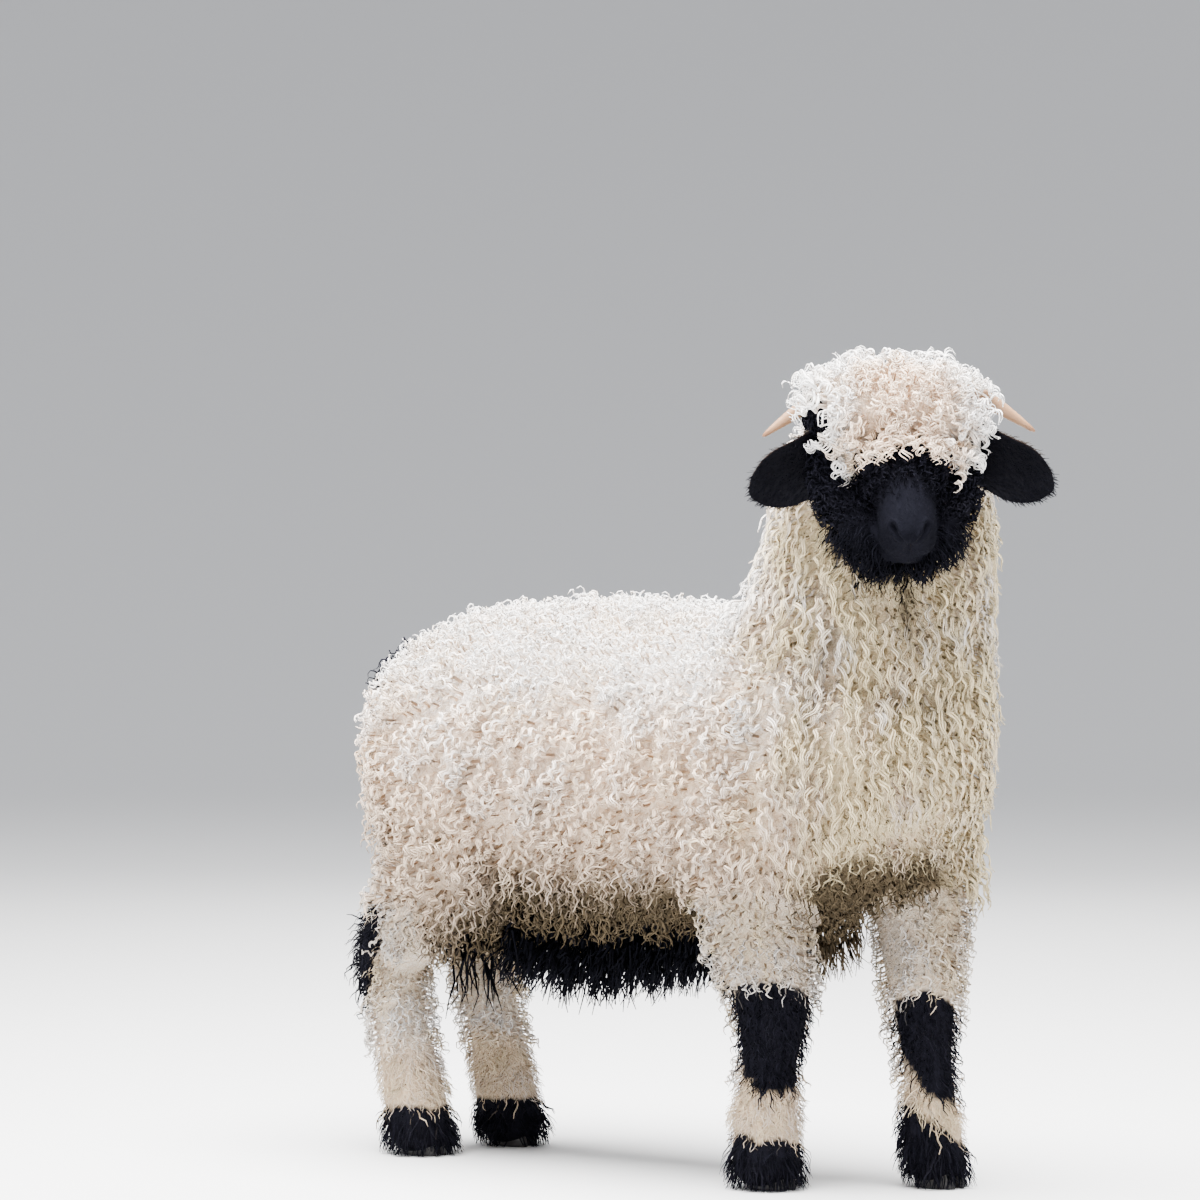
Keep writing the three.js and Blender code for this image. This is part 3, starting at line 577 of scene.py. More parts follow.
def toneAt(place):
    look = toneLook
    p, q, n = place["p"], place["q"], place["normals"]
    x, z = p[:, 0], p[:, 2]
    onCrown = (place["overHem"] > -0.01) & (place["overNeck"] > 0)
    onLeg = place["leg"] >= 0
    side = 1 - smoothStep(0.15, 0.75, n[:, 2])
    low = 1 - smoothStep(0.30, 0.60, z)
    crown = smoothStep(0.0, 0.05, q[:, 0]) * (1 - smoothStep(0.03, 0.075, np.abs(q[:, 1])))
    warm = np.where(onCrown, crown, look["warmTop"] + side * (look["warmSide"] + look["warmLow"] * low))
    warm = np.where(onLeg, look["warmLeg"] + look["warmFetlock"] * (1 - smoothStep(0.11, 0.15, z)), warm)
    # the chest and the front of the neck are yellower, in patches, and paler toward the flank
    chest = smoothStep(-0.14, 0.04, x) * (1 - smoothStep(0.74, 0.84, z))
    patches = 1 + look["strawPatches"] * wavering(p * np.array((0.5, 0.5, 0.2)))
    straw = np.where(onCrown, 0, chest * (look["strawChest"] + look["strawFront"] * side) * patches)
    acrossX, acrossY = look["acrossChest"]
    straw *= 0.35 + 0.65 * smoothStep(-0.13, -0.01, x * acrossX + p[:, 1] * acrossY)
    straw = np.where(onLeg, look["strawLeg"], straw)
    # painted shade in brown: under the belly by the black fringe, between the forelegs, low on the flank and
    # shoulder, and on the chest's sides
    below = (1 - smoothStep(0.32, 0.40, z)) * (z > 0.2) * ~onLeg
    nearBlack = smoothStep(-0.54, -0.44, x) * (1 - smoothStep(-0.16, -0.06, x))
    under = below * smoothStep(0.15, 0.85, -n[:, 2]) * (look["shadeBelly"] + look["shadeFringe"] * nearBlack)
    between = 1 - smoothStep(0.055, 0.085, np.abs(p[:, 1] + 0.012))
    armpit = (1 - smoothStep(0.345, 0.395, z)) * between * (x > -0.16) * (z > 0.2) * ~onLeg
    armpit = armpit * look["shadeArmpit"]
    shoulder = look["shadeShoulder"] * smoothStep(-0.20, -0.06, x)
    lowSide = (1 - smoothStep(0.28, 0.50, z)) * side * (look["shadeLow"] + shoulder)
    # painted shade on the legs, which stand under the body, and more on the upper leg
    legShade = look["shadeLeg"] + look["shadeUpperLeg"] * smoothStep(0.16, 0.26, z)
    shade = np.where(onLeg, legShade, under + armpit + np.maximum(lowSide, chest * side * look["shadeChest"]))
    # painted shade: the muzzle darker all over, against the light on it from above
    muzzle = smoothStep(0.085, 0.125, place["h"][:, 0]) * (place["face"] > 0)
    shade = np.maximum(shade, look["shadeMuzzle"] * muzzle)
    # real stains: brown streaks down the chest and neck, added to the same tone
    for stainX, stainY, stainZ, wide, tall in look["stains"]:
        away = (p - np.array((stainX, stainY, stainZ))) / np.array((wide * 2.5, wide * 2.5, tall))
        across = ((x - stainX) * acrossX + (p[:, 1] - stainY) * acrossY) / wide
        shade += look["shadeStain"] * np.exp(-(away**2).sum(1)) * np.exp(-across**2)
    return {"warm": np.clip(warm, 0, 1), "straw": np.clip(straw, 0, 1), "shade": np.clip(shade, 0, 1)}


def readVerts(mesh):
    tables = []
    for field in ("co", "normal"):
        table = np.empty(len(mesh.vertices) * 3, dtype=np.float32)
        mesh.vertices.foreach_get(field, table)
        tables.append(table.reshape(-1, 3).astype(float))
    return tables


skinPlaces = readPlaces(*readVerts(skinMesh))
writeFloats(skinMesh, "black", blackAt(skinPlaces, np.zeros(len(skinMesh.vertices))))
for toneName, toneValues in toneAt(skinPlaces).items():
    writeFloats(skinMesh, toneName, toneValues)
print("skin marked")


# Shader groups that several finishes share
def newGroup(name, inputs, outputs):
    group = bpy.data.node_groups.new(name, "ShaderNodeTree")
    for label, kind, value in inputs:
        socket = group.interface.new_socket(label, in_out="INPUT", socket_type=kind)
        if value is not None:
            socket.default_value = value
    for label, kind in outputs:
        group.interface.new_socket(label, in_out="OUTPUT", socket_type=kind)
    source = group.nodes.new("NodeGroupInput")
    sink = group.nodes.new("NodeGroupOutput")
    return group, source, sink


def addNode(tree, kind, values=None, **settings):
    node = tree.nodes.new(kind)
    for key, value in settings.items():
        setattr(node, key, value)
    for key, value in (values or {}).items():
        node.inputs[key].default_value = value
    return node


def mixColour(tree, factor, first, second):
    node = addNode(tree, "ShaderNodeMix", data_type="RGBA")
    for index, source in ((0, factor), (6, first), (7, second)):
        if isinstance(source, bpy.types.NodeSocket):
            tree.links.new(source, node.inputs[index])
        else:
            node.inputs[index].default_value = source
    return node.outputs[2]


def mathNode(tree, operation, first, second=None):
    node = addNode(tree, "ShaderNodeMath", operation=operation, use_clamp=False)
    for index, source in ((0, first), (1, second)):
        if isinstance(source, bpy.types.NodeSocket):
            tree.links.new(source, node.inputs[index])
        elif source is not None:
            node.inputs[index].default_value = source
    return node.outputs[0]


def mapRange(tree, value, low, high, start=0.0, end=1.0):
    spans = {1: low, 2: high, 3: start, 4: end}
    node = addNode(tree, "ShaderNodeMapRange", spans, interpolation_type="SMOOTHSTEP")
    tree.links.new(value, node.inputs[0])
    return node.outputs[0]


def objectPlace(tree):
    return addNode(tree, "ShaderNodeTexCoord").outputs["Object"]


def noiseAt(tree, place, scale, detail, **values):
    node = addNode(tree, "ShaderNodeTexNoise", {"Scale": scale, "Detail": detail, **values})
    tree.links.new(place, node.inputs["Vector"])
    return node.outputs[0]


def bumpFrom(tree, shader, height, strength, distance):
    bump = addNode(tree, "ShaderNodeBump", {"Strength": strength, "Distance": distance})
    tree.links.new(height, bump.inputs["Height"])
    tree.links.new(bump.outputs["Normal"], shader.inputs["Normal"])


woolColours = {
    "white": (0.91, 0.895, 0.88, 1),
    "peach": (0.80, 0.63, 0.49, 1),
    "straw": (0.76, 0.64, 0.40, 1),
    "rootStainAndShade": (0.58, 0.38, 0.22, 1),
    "brown": (0.080, 0.060, 0.036, 1),
    "black": (0.0074, 0.0072, 0.0112, 1),
    "blackRoot": (0.0038, 0.0037, 0.0055, 1),
    "blackTip": (0.0165, 0.0158, 0.0215, 1),
    "blackShade": (0.0030, 0.0030, 0.0046, 1),
}


def buildWoolGroup():
    # wool of any tone: white, peach or straw, darker toward the root, brown where shade is painted below, or
    # black
    group, source, sink = newGroup("woolShade", [
        ("Coordinates", "NodeSocketVector", None), ("Tip", "NodeSocketFloat", 1.0),
        ("Tint", "NodeSocketFloat", 0.5), ("Warm", "NodeSocketFloat", 0.3), ("Straw", "NodeSocketFloat", 0.0),
        ("Shade", "NodeSocketFloat", 0.0), ("Black", "NodeSocketFloat", 0.0),
    ], [("Colour", "NodeSocketColor"), ("Roughness", "NodeSocketFloat")])
    given = source.outputs
    broad = noiseAt(group, given["Coordinates"], 11.0, 3.0)
    fine = noiseAt(group, given["Coordinates"], 160.0, 2.0)
    drift = mathNode(group, "MULTIPLY", mathNode(group, "SUBTRACT", broad, 0.5), 0.9)
    tinted = mathNode(group, "MULTIPLY", mathNode(group, "SUBTRACT", given["Tint"], 0.5), 0.7)
    push = mathNode(group, "ADD", drift, tinted)
    warm = mapRange(group, mathNode(group, "ADD", given["Warm"], push), 0.0, 1.0)
    straw = mapRange(group, mathNode(group, "ADD", given["Straw"], push), 0.0, 1.0)
    pale = mixColour(group, warm, woolColours["white"], woolColours["peach"])
    pale = mixColour(group, straw, pale, woolColours["straw"])
    # darker and browner toward the root: the wool's own root stain, and painted shade in the crevices between
    # locks
    rootStainAndShade = mapRange(group, given["Tip"], 0.05, 0.75, 0.58, 0.0)
    rootStainAndShade = mathNode(group, "MULTIPLY", rootStainAndShade, mapRange(group, given["Straw"], 0.2, 0.9, 1.0, 0.6))
    spotted = mathNode(group, "ADD", rootStainAndShade, mapRange(group, fine, 0.5, 0.8, 0.0, 0.16))
    rooted = mixColour(group, spotted, pale, woolColours["rootStainAndShade"])
    # brown by the shade tone: painted shade with a few real stains, and some locks browner at random
    deepLocks = mapRange(group, given["Tint"], 0.1, 0.55, 0.10, 0.0)
    shade = mathNode(group, "ADD", given["Shade"], deepLocks)
    shaded = mixColour(group, shade, rooted, woolColours["brown"])
    towardTip = mapRange(group, given["Tip"], 0.3, 0.9)
    dark = mixColour(group, towardTip, woolColours["blackRoot"], woolColours["black"])
    lit = mapRange(group, given["Tint"], 0.45, 1.0, 0.0, 0.6)
    dark = mixColour(group, lit, dark, woolColours["blackTip"])
    # painted shade darkens the black wool too, as on the fringe under the belly and the muzzle
    dark = mixColour(group, given["Shade"], dark, woolColours["blackShade"])
    group.links.new(mixColour(group, given["Black"], shaded, dark), sink.inputs["Colour"])
    group.links.new(mapRange(group, fine, 0.3, 0.7, 0.72, 0.92), sink.inputs["Roughness"])
    return group


def buildFibreGroup():
    # fine lengthwise fibres, from a map that runs round and along each lock
    group, source, sink = newGroup("fibreGrain", [
        ("Map", "NodeSocketVector", None), ("Coordinates", "NodeSocketVector", None),
        ("Count", "NodeSocketFloat", 5.0),
    ], [("Height", "NodeSocketFloat")])
    split = addNode(group, "ShaderNodeSeparateXYZ")
    group.links.new(source.outputs["Map"], split.inputs[0])
    noise = noiseAt(group, source.outputs["Coordinates"], 700.0, 1.0)
    turns = mathNode(group, "MULTIPLY", split.outputs[0], source.outputs["Count"])
    bent = mathNode(group, "ADD", turns, mathNode(group, "MULTIPLY", noise, 0.6))
    ridge = mathNode(group, "PINGPONG", bent, 0.5)
    height = mathNode(group, "ADD", ridge, mathNode(group, "MULTIPLY", noise, 0.5))
    group.links.new(height, sink.inputs["Height"])
    return group


woolGroup = buildWoolGroup()
fibreGroup = buildFibreGroup()
coolSheen = (0.7, 0.78, 1.0, 1)


def newMaterial(name, **sockets):
    material = bpy.data.materials.new(name)
    material.use_nodes = True
    shader = material.node_tree.nodes["Principled BSDF"]
    for key, value in sockets.items():
        shader.inputs[key].default_value = value
    return material, material.node_tree, shader


def attributeOf(tree, name):
    return addNode(tree, "ShaderNodeAttribute", attribute_name=name).outputs["Fac"]


def woolFrom(tree, shader, place, names, **values):
    # the shared wool, with its tones read from the piece's own attributes
    wool = addNode(tree, "ShaderNodeGroup", values, node_tree=woolGroup)
    tree.links.new(place, wool.inputs["Coordinates"])
    for name in names:
        tree.links.new(attributeOf(tree, name.lower()), wool.inputs[name])
    tree.links.new(wool.outputs["Colour"], shader.inputs["Base Color"])
    tree.links.new(wool.outputs["Roughness"], shader.inputs["Roughness"])
    return wool


def buildWoolMaterial():
    sockets = {"Specular IOR Level": 0.03, "Specular Tint": coolSheen}
    material, tree, shader = newMaterial("woolLocks", **sockets)
    place = objectPlace(tree)
    woolFrom(tree, shader, place, ("Tip", "Tint", "Warm", "Straw", "Shade", "Black"))
    strand = addNode(tree, "ShaderNodeUVMap", uv_map="strand")
    fibre = addNode(tree, "ShaderNodeGroup", node_tree=fibreGroup)
    tree.links.new(place, fibre.inputs["Coordinates"])
    tree.links.new(strand.outputs[0], fibre.inputs["Map"])
    bumpFrom(tree, shader, fibre.outputs["Height"], 0.45, 0.0006)
    return material


def buildSkinMaterial():
    # the skin between the locks: matted wool roots, and short velvet on the face
    sockets = {"Specular IOR Level": 0.02, "Specular Tint": coolSheen}
    material, tree, shader = newMaterial("woollySkin", **sockets)
    place = objectPlace(tree)
    wool = woolFrom(tree, shader, place, ("Warm", "Straw", "Shade", "Black"), Tint=0.6)
    curls = noiseAt(tree, place, 95.0, 3.0, Distortion=3.5)
    velvet = noiseAt(tree, place, 700.0, 3.0)
    # the curls set how near each spot is to the root's colour: its own stain and painted crevice shade
    tree.links.new(mapRange(tree, curls, 0.38, 0.62, 0.20, 0.70), wool.inputs["Tip"])
    # deep curls under the white wool, and only the nap where it is black
    curlDepth = mapRange(tree, attributeOf(tree, "black"), 0, 1, 4.0, 0.0)
    matted = mathNode(tree, "MULTIPLY", curls, curlDepth)
    height = mathNode(tree, "ADD", matted, mathNode(tree, "MULTIPLY", velvet, 0.5))
    bumpFrom(tree, shader, height, 0.8, 0.0022)
    return material


woolMaterial = buildWoolMaterial()
skinMaterial = buildSkinMaterial()
legParts = []
for legName in legs:
    joint = "knee" if legName.startswith("front") else "hock"
    legParts += [f"{legName}_{part}" for part in ("upper_leg", joint, "fetlock", "foot")]
fleshNodes = ["crown", "head", "neck", "forequarters", "barrel", "hindquarters", "tail"] + legParts
addPiece("skin", skinMesh, skinMaterial, fleshNodes)
print("skin placed")

# What the kinds of lock share, in metres and degrees
plainLock = {"flat": 1.0, "hook": 1.0, "shapes": 12, "strands": 1, "loose": 0.0}
# A lock leaves the skin at rise, turns over to bend and curls about its own line
lockLooks = {
    "ringlet": dict(
        plainLock, length=0.036, curl=0.0034, turns=2.0, wide=0.0013, thick=0.0011, rise=6, bend=106,
        hook=1.5, start=0.36, steps=9, spacing=0.0092, spread=28, shapes=18, strands=2, loose=0.3),
    "back": dict(
        plainLock, length=0.034, curl=0.0033, turns=2.2, wide=0.0014, thick=0.0012, rise=5, bend=104,
        hook=1.6, start=0.38, steps=10, spacing=0.0069, spread=100),
    "wave": dict(
        plainLock, length=0.050, curl=0.0026, turns=2.0, wide=0.0012, thick=0.0010, rise=6, bend=98,
        start=0.20, steps=11, spacing=0.0083, spread=14, flat=0.9, shapes=18, strands=2, loose=0.35),
    "belly": dict(
        plainLock, length=0.034, curl=0.0028, turns=1.8, wide=0.0012, thick=0.0010, rise=8, bend=84,
        hook=1.2, start=0.30, steps=7, spacing=0.0067, spread=50),
    "fringe": dict(
        plainLock, length=0.060, curl=0.0024, turns=1.5, wide=0.0010, thick=0.0008, rise=0, bend=26,
        start=0.2, steps=5, spacing=0.0048, spread=60, flat=0.9, shapes=10),
    "crown": dict(
        plainLock, length=0.036, curl=0.0037, turns=2.1, wide=0.0012, thick=0.0010, rise=5, bend=104,
        hook=1.4, start=0.34, steps=16, spacing=0.0066, spread=45, shapes=16, strands=2, loose=1.0),
    "forelock": dict(
        plainLock, length=0.042, curl=0.0038, turns=2.8, wide=0.0011, thick=0.0011, rise=10, bend=100,
        start=0.24, steps=26, spacing=0.0060, spread=24, strands=3, loose=0.8),
    "face": dict(
        plainLock, length=0.016, curl=0.0021, turns=1.6, wide=0.0009, thick=0.0008, rise=16, bend=108,
        hook=1.3, start=0.32, steps=7, spacing=0.0034, spread=60, shapes=14),
    "chin": dict(
        plainLock, length=0.023, curl=0.0014, turns=1.0, wide=0.0008, thick=0.0006, rise=20, bend=78,
        start=0.3, steps=5, spacing=0.0032, spread=24, shapes=10),
    "velvet": dict(
        plainLock, length=0.0048, curl=0.0001, turns=0.5, wide=0.0004, thick=0.0003, rise=72, bend=84,
        start=1.0, steps=1, spacing=0.0017, spread=26, shapes=8),
    "leg": dict(
        plainLock, length=0.026, curl=0.0028, turns=1.8, wide=0.0012, thick=0.0010, rise=10, bend=104,
        hook=1.4, start=0.32, steps=7, spacing=0.0056, spread=40, shapes=14),
    "knee": dict(
        plainLock, length=0.021, curl=0.0016, turns=1.0, wide=0.0007, thick=0.0005, rise=40, bend=90,
        start=0.3, steps=4, spacing=0.0031, spread=34),
    "cuff": dict(
        plainLock, length=0.020, curl=0.0014, turns=1.2, wide=0.0007, thick=0.0005, rise=32, bend=92,
        start=0.25, steps=4, spacing=0.0032, spread=36),
    "foot": dict(
        plainLock, length=0.030, curl=0.0012, turns=0.9, wide=0.0007, thick=0.0005, rise=54, bend=82,
        start=0.3, steps=4, spacing=0.0030, spread=20),
    "tail": dict(
        plainLock, length=0.036, curl=0.0028, turns=1.8, wide=0.0013, thick=0.0011, rise=12, bend=98,
        hook=1.3, start=0.25, steps=10, spacing=0.0066, spread=34, shapes=8),
    "ear": dict(
        plainLock, length=0.0074, curl=0.0001, turns=0.5, wide=0.0006, thick=0.0004, rise=70, bend=84,
        start=1.0, steps=1, spacing=0.0020, spread=28, shapes=8),
    "rim": dict(
        plainLock, length=0.0080, curl=0.0003, turns=0.6, wide=0.0004, thick=0.0003, rise=46, bend=86,
        start=0.5, steps=2, spacing=0.0012, spread=30, shapes=8),
}
kindNames = list(lockLooks)
lockSides = 3
# How far one lock may differ from the next, as shares
lockVariety = {"rise": 0.3, "bend": 0.22, "turns": 0.25, "curl": 0.3, "aside": 0.3, "size": 0.16}
chance = np.random.default_rng(411)


def varied(amount):
    return 1 + amount * (2 * chance.random() - 1)


def lockHabit(look, hand):
    return {
        "rise": math.radians(look["rise"]) * varied(lockVariety["rise"]),
        "bend": math.radians(look["bend"]) * varied(lockVariety["bend"]),
        "turns": look["turns"] * varied(lockVariety["turns"]),
        "curl": look["curl"] * varied(lockVariety["curl"]),
        "aside": lockVariety["aside"] * (2 * chance.random() - 1),
        "begin": math.tau * chance.random(),
        "hand": hand,
        "foot": (0, 0, 0),
    }


def strandHabit(look, habit, spare):
    # a strand that runs beside the middle line of its lock, closely or loosely
    loose = look["loose"]
    strand = dict(habit)
    strand["bend"] *= varied(0.08 * loose)
    strand["curl"] *= varied(0.25 * loose)
    strand["begin"] += 0.9 * loose * spare * varied(0.4)
    strand["aside"] += 0.06 * loose * spare
    strand["foot"] = (0.0012 * loose * varied(1) - 0.0012 * loose, look["wide"] * 1.5 * spare, 0)
    return strand


def lockSpine(look, habit):
    # points, their upper ways and their shares of the length, for one strand that stands on the origin
    rise, bend = habit["rise"], habit["bend"]
    shares = [0.0] + list(np.linspace(look["start"], 1.0, look["steps"]))
    here, previous = Vector(habit["foot"]), 0.0
    curlFrom = look["start"] * 0.7
    points, uppers = [], []
    for share in shares:
        lean = rise + (bend - rise) * ((share + previous) / 2) ** look["hook"]
        step = Vector((math.sin(lean), habit["aside"] * share, math.cos(lean)))
        here = here + step * look["length"] * (share - previous)
        lean = rise + (bend - rise) * share ** look["hook"]
        upper = Vector((-math.cos(lean), 0, math.sin(lean)))
        # the curl opens past the start and draws in toward the tip
        opened = float(smoothStep(look["start"] * 0.5, look["start"] + 0.2, share)) * (1.1 - 0.35 * share)
        wound = math.tau * habit["turns"] * max(0, share - curlFrom) / (1 - curlFrom)
        angle = habit["begin"] + habit["hand"] * wound
        swing = upper * math.cos(angle) * look["flat"] + Vector((0, math.sin(angle), 0))
        points.append(here + swing * habit["curl"] * opened)
        uppers.append(upper)
        previous = share
    return points, uppers, shares


def strandRings(look, habit):
    # the places and sizes of the rings along one strand
    points, uppers, shares = lockSpine(look, habit)
    last = len(points) - 1
    rings = []
    upper = uppers[0]
    for k, share in enumerate(shares):
        tangent = (points[min(k + 1, last)] - points[max(k - 1, 0)]).normalized()
        upper = upper if look["wide"] == look["thick"] else uppers[k]
        across = tangent.cross(upper).normalized()
        upper = across.cross(tangent)
        taper = min(1.0, 0.8 + share) * (1 - 0.72 * float(smoothStep(0.60, 1.05, share)))
        ring = Matrix.Identity(4)
        ring.col[0].xyz = across * look["wide"] * taper
        ring.col[1].xyz = upper * look["thick"] * taper
        ring.col[2].xyz = tangent * look["wide"]
        ring.col[3].xyz = points[k]
        rings.append((ring, share))
    return rings


def addStrand(bm, rings, along, around):
    # a small ring that is pushed out of the skin, step by step, to the tip
    first = rings[0][0]
    foot = bmesh.ops.create_circle(bm, cap_ends=True, segments=lockSides, radius=1, matrix=first)["verts"]
    for i, vert in enumerate(foot):
        vert[around] = i / lockSides
    end = foot[0].link_faces[0]
    for (before, _), (ringPlace, share) in zip(rings, rings[1:]):
        pushed = bmesh.ops.extrude_face_region(bm, geom=[end])["geom"]
        ring = [g for g in pushed if isinstance(g, bmesh.types.BMVert)]
        end = next(g for g in pushed if isinstance(g, bmesh.types.BMFace))
        bmesh.ops.transform(bm, matrix=ringPlace @ before.inverted(), verts=ring)
        for vert in ring:
            vert[along] = share


def lockShape(look, hand):
    # one lock, as arrays that can be set down many times
    habit = lockHabit(look, hand)
    bm = bmesh.new()
    along = bm.verts.layers.float.new("along")
    around = bm.verts.layers.float.new("around")
    for strand in range(look["strands"]):
        spare = strand - (look["strands"] - 1) / 2
        ownHabit = strandHabit(look, habit, spare) if look["strands"] > 1 else habit
        addStrand(bm, strandRings(look, ownHabit), along, around)
    bmesh.ops.recalc_face_normals(bm, faces=bm.faces)
    bm.verts.index_update()
    corners, counts, strands = [], [], []
    for face in bm.faces:
        ways = [vert[around] for vert in face.verts]
        if len(ways) == 4 and max(ways) - min(ways) > 0.5:
            ways = [way + 1 if way < 0.5 else way for way in ways]
        corners += [vert.index for vert in face.verts]
        counts.append(len(face.verts))
        strands += [(way * 0.75, vert[along]) for way, vert in zip(ways, face.verts)]
    tips = np.array([v[along] for v in bm.verts])
    shape = {"verts": np.array([v.co for v in bm.verts]), "tips": tips, "corners": np.array(corners),
             "counts": np.array(counts), "strands": np.array(strands)}
    bm.free()
    return shape


lockShapes = {}
for lockName, look in lockLooks.items():
    lockShapes[lockName] = [lockShape(look, (-1) ** i) for i in range(look["shapes"])]
print("locks shaped:", {name: int((shapes[0]["counts"] - 2).sum()) for name, shapes in lockShapes.items()})


def isKind(kinds, *names):
    return np.isin(kinds, [kindNames.index(name) for name in names])


class Dressing:
    # the kind, the lie and the size of the lock at each of many places, set region by region
    def __init__(self, count):
        self.kind = np.full(count, -1)
        self.lie = np.zeros((count, 3))
        self.size = np.ones(count)

    def dress(self, name, where, way, size=1.0):
        self.kind[where] = kindNames.index(name)
        self.lie[where] = way[where] if np.ndim(way) == 2 else way
        self.size[where] = size[where] if np.ndim(size) else size


# Where one kind of lock gives way to the next, in metres unless it is a facing of the skin
coatLook = {
    "down": (0.0, 0.0, -1.0),
    "backFacing": 0.55,
    "waveFront": -0.026, "waveAbove": 0.30, "waveFacing": 0.45,
    "bellyFacing": -0.40, "bellyBelow": 0.40, "fringeFacing": -0.86, "fringeHalf": 0.062,
    "ringletLegAbove": 0.262, "cuffBelow": 0.122, "bareBelow": 0.018,
    "hemDeep": 0.030, "muzzleAt": (0.150, 0, -0.012), "muzzleHalf": (0.035, 0.042), "muzzleFront": 0.114,
    "chinBelow": -0.100, "lidVelvet": 0.0164, "lidBare": 0.0143, "nostrilBare": 0.0060, "mouthBare": 0.0026,
}


def dressTrunk(coat, place, unsure):
    p, n = place["p"], place["normals"]
    still = np.zeros(len(p))
    lower = 1 + 0.10 * (1 - smoothStep(0.30, 0.42, p[:, 2]))
    backward = np.stack([-0.40 * smoothStep(0.02, 0.22, -p[:, 0]), still, still - 1.0], 1)
    coat.dress("ringlet", np.ones(len(p), bool), backward, lower)
    parting = np.stack([still - 0.6, np.sign(p[:, 1]) * 0.7, still - 0.3], 1)
    coat.dress("back", n[:, 2] > coatLook["backFacing"], parting)
    high = (n[:, 0] > 0.1) | (p[:, 2] > 0.60)
    front = (p[:, 0] > unsure + coatLook["waveFront"]) & (p[:, 2] > coatLook["waveAbove"]) & high
    steep = n[:, 2] < coatLook["waveFacing"] + unsure * 3
    coat.dress("wave", (front | (place["overNeck"] > -0.01)) & steep, (0.03, 0.0, -1.0))
    under = (n[:, 2] < coatLook["bellyFacing"]) & (p[:, 2] < coatLook["bellyBelow"]) & (place["leg"] < 0)
    rearward = smoothStep(0.15, 0.40, -p[:, 0])
    coat.dress("belly", under, (-0.2, 0.0, -1.0), 1 + 0.3 * rearward)
    lengthwise = (p[:, 0] > marking["bellyBack"]) & (p[:, 0] < marking["bellyFront"])
    onFringe = under & (n[:, 2] < coatLook["fringeFacing"]) & lengthwise
    # and in the middle, just behind the forelegs
    inMiddle = (np.abs(p[:, 1]) < coatLook["fringeHalf"]) & (np.abs(p[:, 0] + 0.12) < 0.09)
    onFringe |= under & inMiddle & (n[:, 2] < -0.5)
    coat.dress("fringe", onFringe, (-0.5, 0.0, -1.0), 1 + 0.45 * rearward)
    coat.dress("tail", p[:, 0] < tailFront + 0.004, (-0.1, 0.0, -1.0))
    return under


def dressLegs(coat, place, unsure):
    p, n, down = place["p"], place["normals"], coatLook["down"]
    onLeg = place["leg"] >= 0
    coat.dress("leg", onLeg, down)
    ringletFoot = coatLook["ringletLegAbove"] + unsure + 0.03 * (place["leg"] == 0)
    coat.dress("ringlet", onLeg & (p[:, 2] > ringletFoot), down, 0.82)
    cuffSize = 0.62 + 0.38 * smoothStep(0.062, 0.085, p[:, 2])
    coat.dress("cuff", onLeg & (p[:, 2] < coatLook["cuffBelow"]), down, cuffSize)
    isBlack = blackAt(place, np.zeros(len(p))) > 0.5
    coat.dress("knee", onLeg & isBlack, down, 0.8 + 0.6 * (chance.random(len(p)) > 0.85))
    coat.dress("foot", onLeg & (place["overFoot"] > 0.008), down)
    return onLeg, onLeg & ((p[:, 2] < coatLook["bareBelow"]) | (n[:, 2] < -0.6)), isBlack


def dressHead(coat, place):
    q, h = place["q"], place["h"]
    still, aside = np.zeros(len(q)), np.abs(q[:, 1])
    headWay, pollWay = np.array(headFrame.to_3x3()), np.array(pollFrame.to_3x3())
    onCrown, onFace = headRegions(place)
    sideward = 1 + 0.26 * smoothStep(0.055, 0.080, aside) * (place["overHem"] > 0.025)
    sideward *= 1 - 0.4 * (1 - smoothStep(0.0, 0.03, place["overHem"])) * smoothStep(0.068, 0.080, aside)
    outward = np.stack([q[:, 0] + 0.01, q[:, 1], still - 0.03], 1) @ pollWay.T
    coat.dress("crown", onCrown, outward, sideward)
    atHem = onCrown & (place["overHem"] < coatLook["hemDeep"]) & (q[:, 0] > 0.015)
    coat.dress("forelock", atHem, np.stack([q[:, 0] * 0.6, q[:, 1] * 0.5, still - 0.12], 1) @ pollWay.T)
    # short velvet on the muzzle and the lids, and curls that grow longer away from them
    fromNose = (h - np.array(coatLook["muzzleAt"])) @ headWay.T
    halfWide, halfDeep = coatLook["muzzleHalf"]
    outOfMuzzle = (np.hypot(h[:, 1] / halfWide, (h[:, 2] + 0.020) / halfDeep) - 1) * halfWide
    outOfMuzzle = np.maximum(outOfMuzzle, coatLook["muzzleFront"] - h[:, 0]) + wavering(place["p"]) * 0.003
    coat.dress("face", onFace, fromNose, 0.50 + 0.55 * smoothStep(0.0, 0.022, outOfMuzzle))
    hanging = 1 + 0.26 * smoothStep(0.105, 0.150, -q[:, 2])
    onChin = onFace & (q[:, 2] < coatLook["chinBelow"])
    coat.dress("chin", onChin, fromNose * 0.35 + np.array((0, 0, -0.06)), hanging)
    coat.dress("velvet", onFace & (outOfMuzzle < 0), fromNose)
    folded = np.stack([h[:, 0], np.abs(h[:, 1]), h[:, 2]], 1)
    toEye = np.linalg.norm(folded - np.array(headForm["eyeAt"]), axis=1)
    coat.dress("velvet", onFace & (toEye < coatLook["lidVelvet"]), fromNose)
    bare = toEye < coatLook["lidBare"]
    bare |= distanceToPath(folded, headForm["nostril"]) < coatLook["nostrilBare"]
    bare |= distanceToPath(folded, headForm["mouth"]) < coatLook["mouthBare"]
    return onFace, onFace & bare


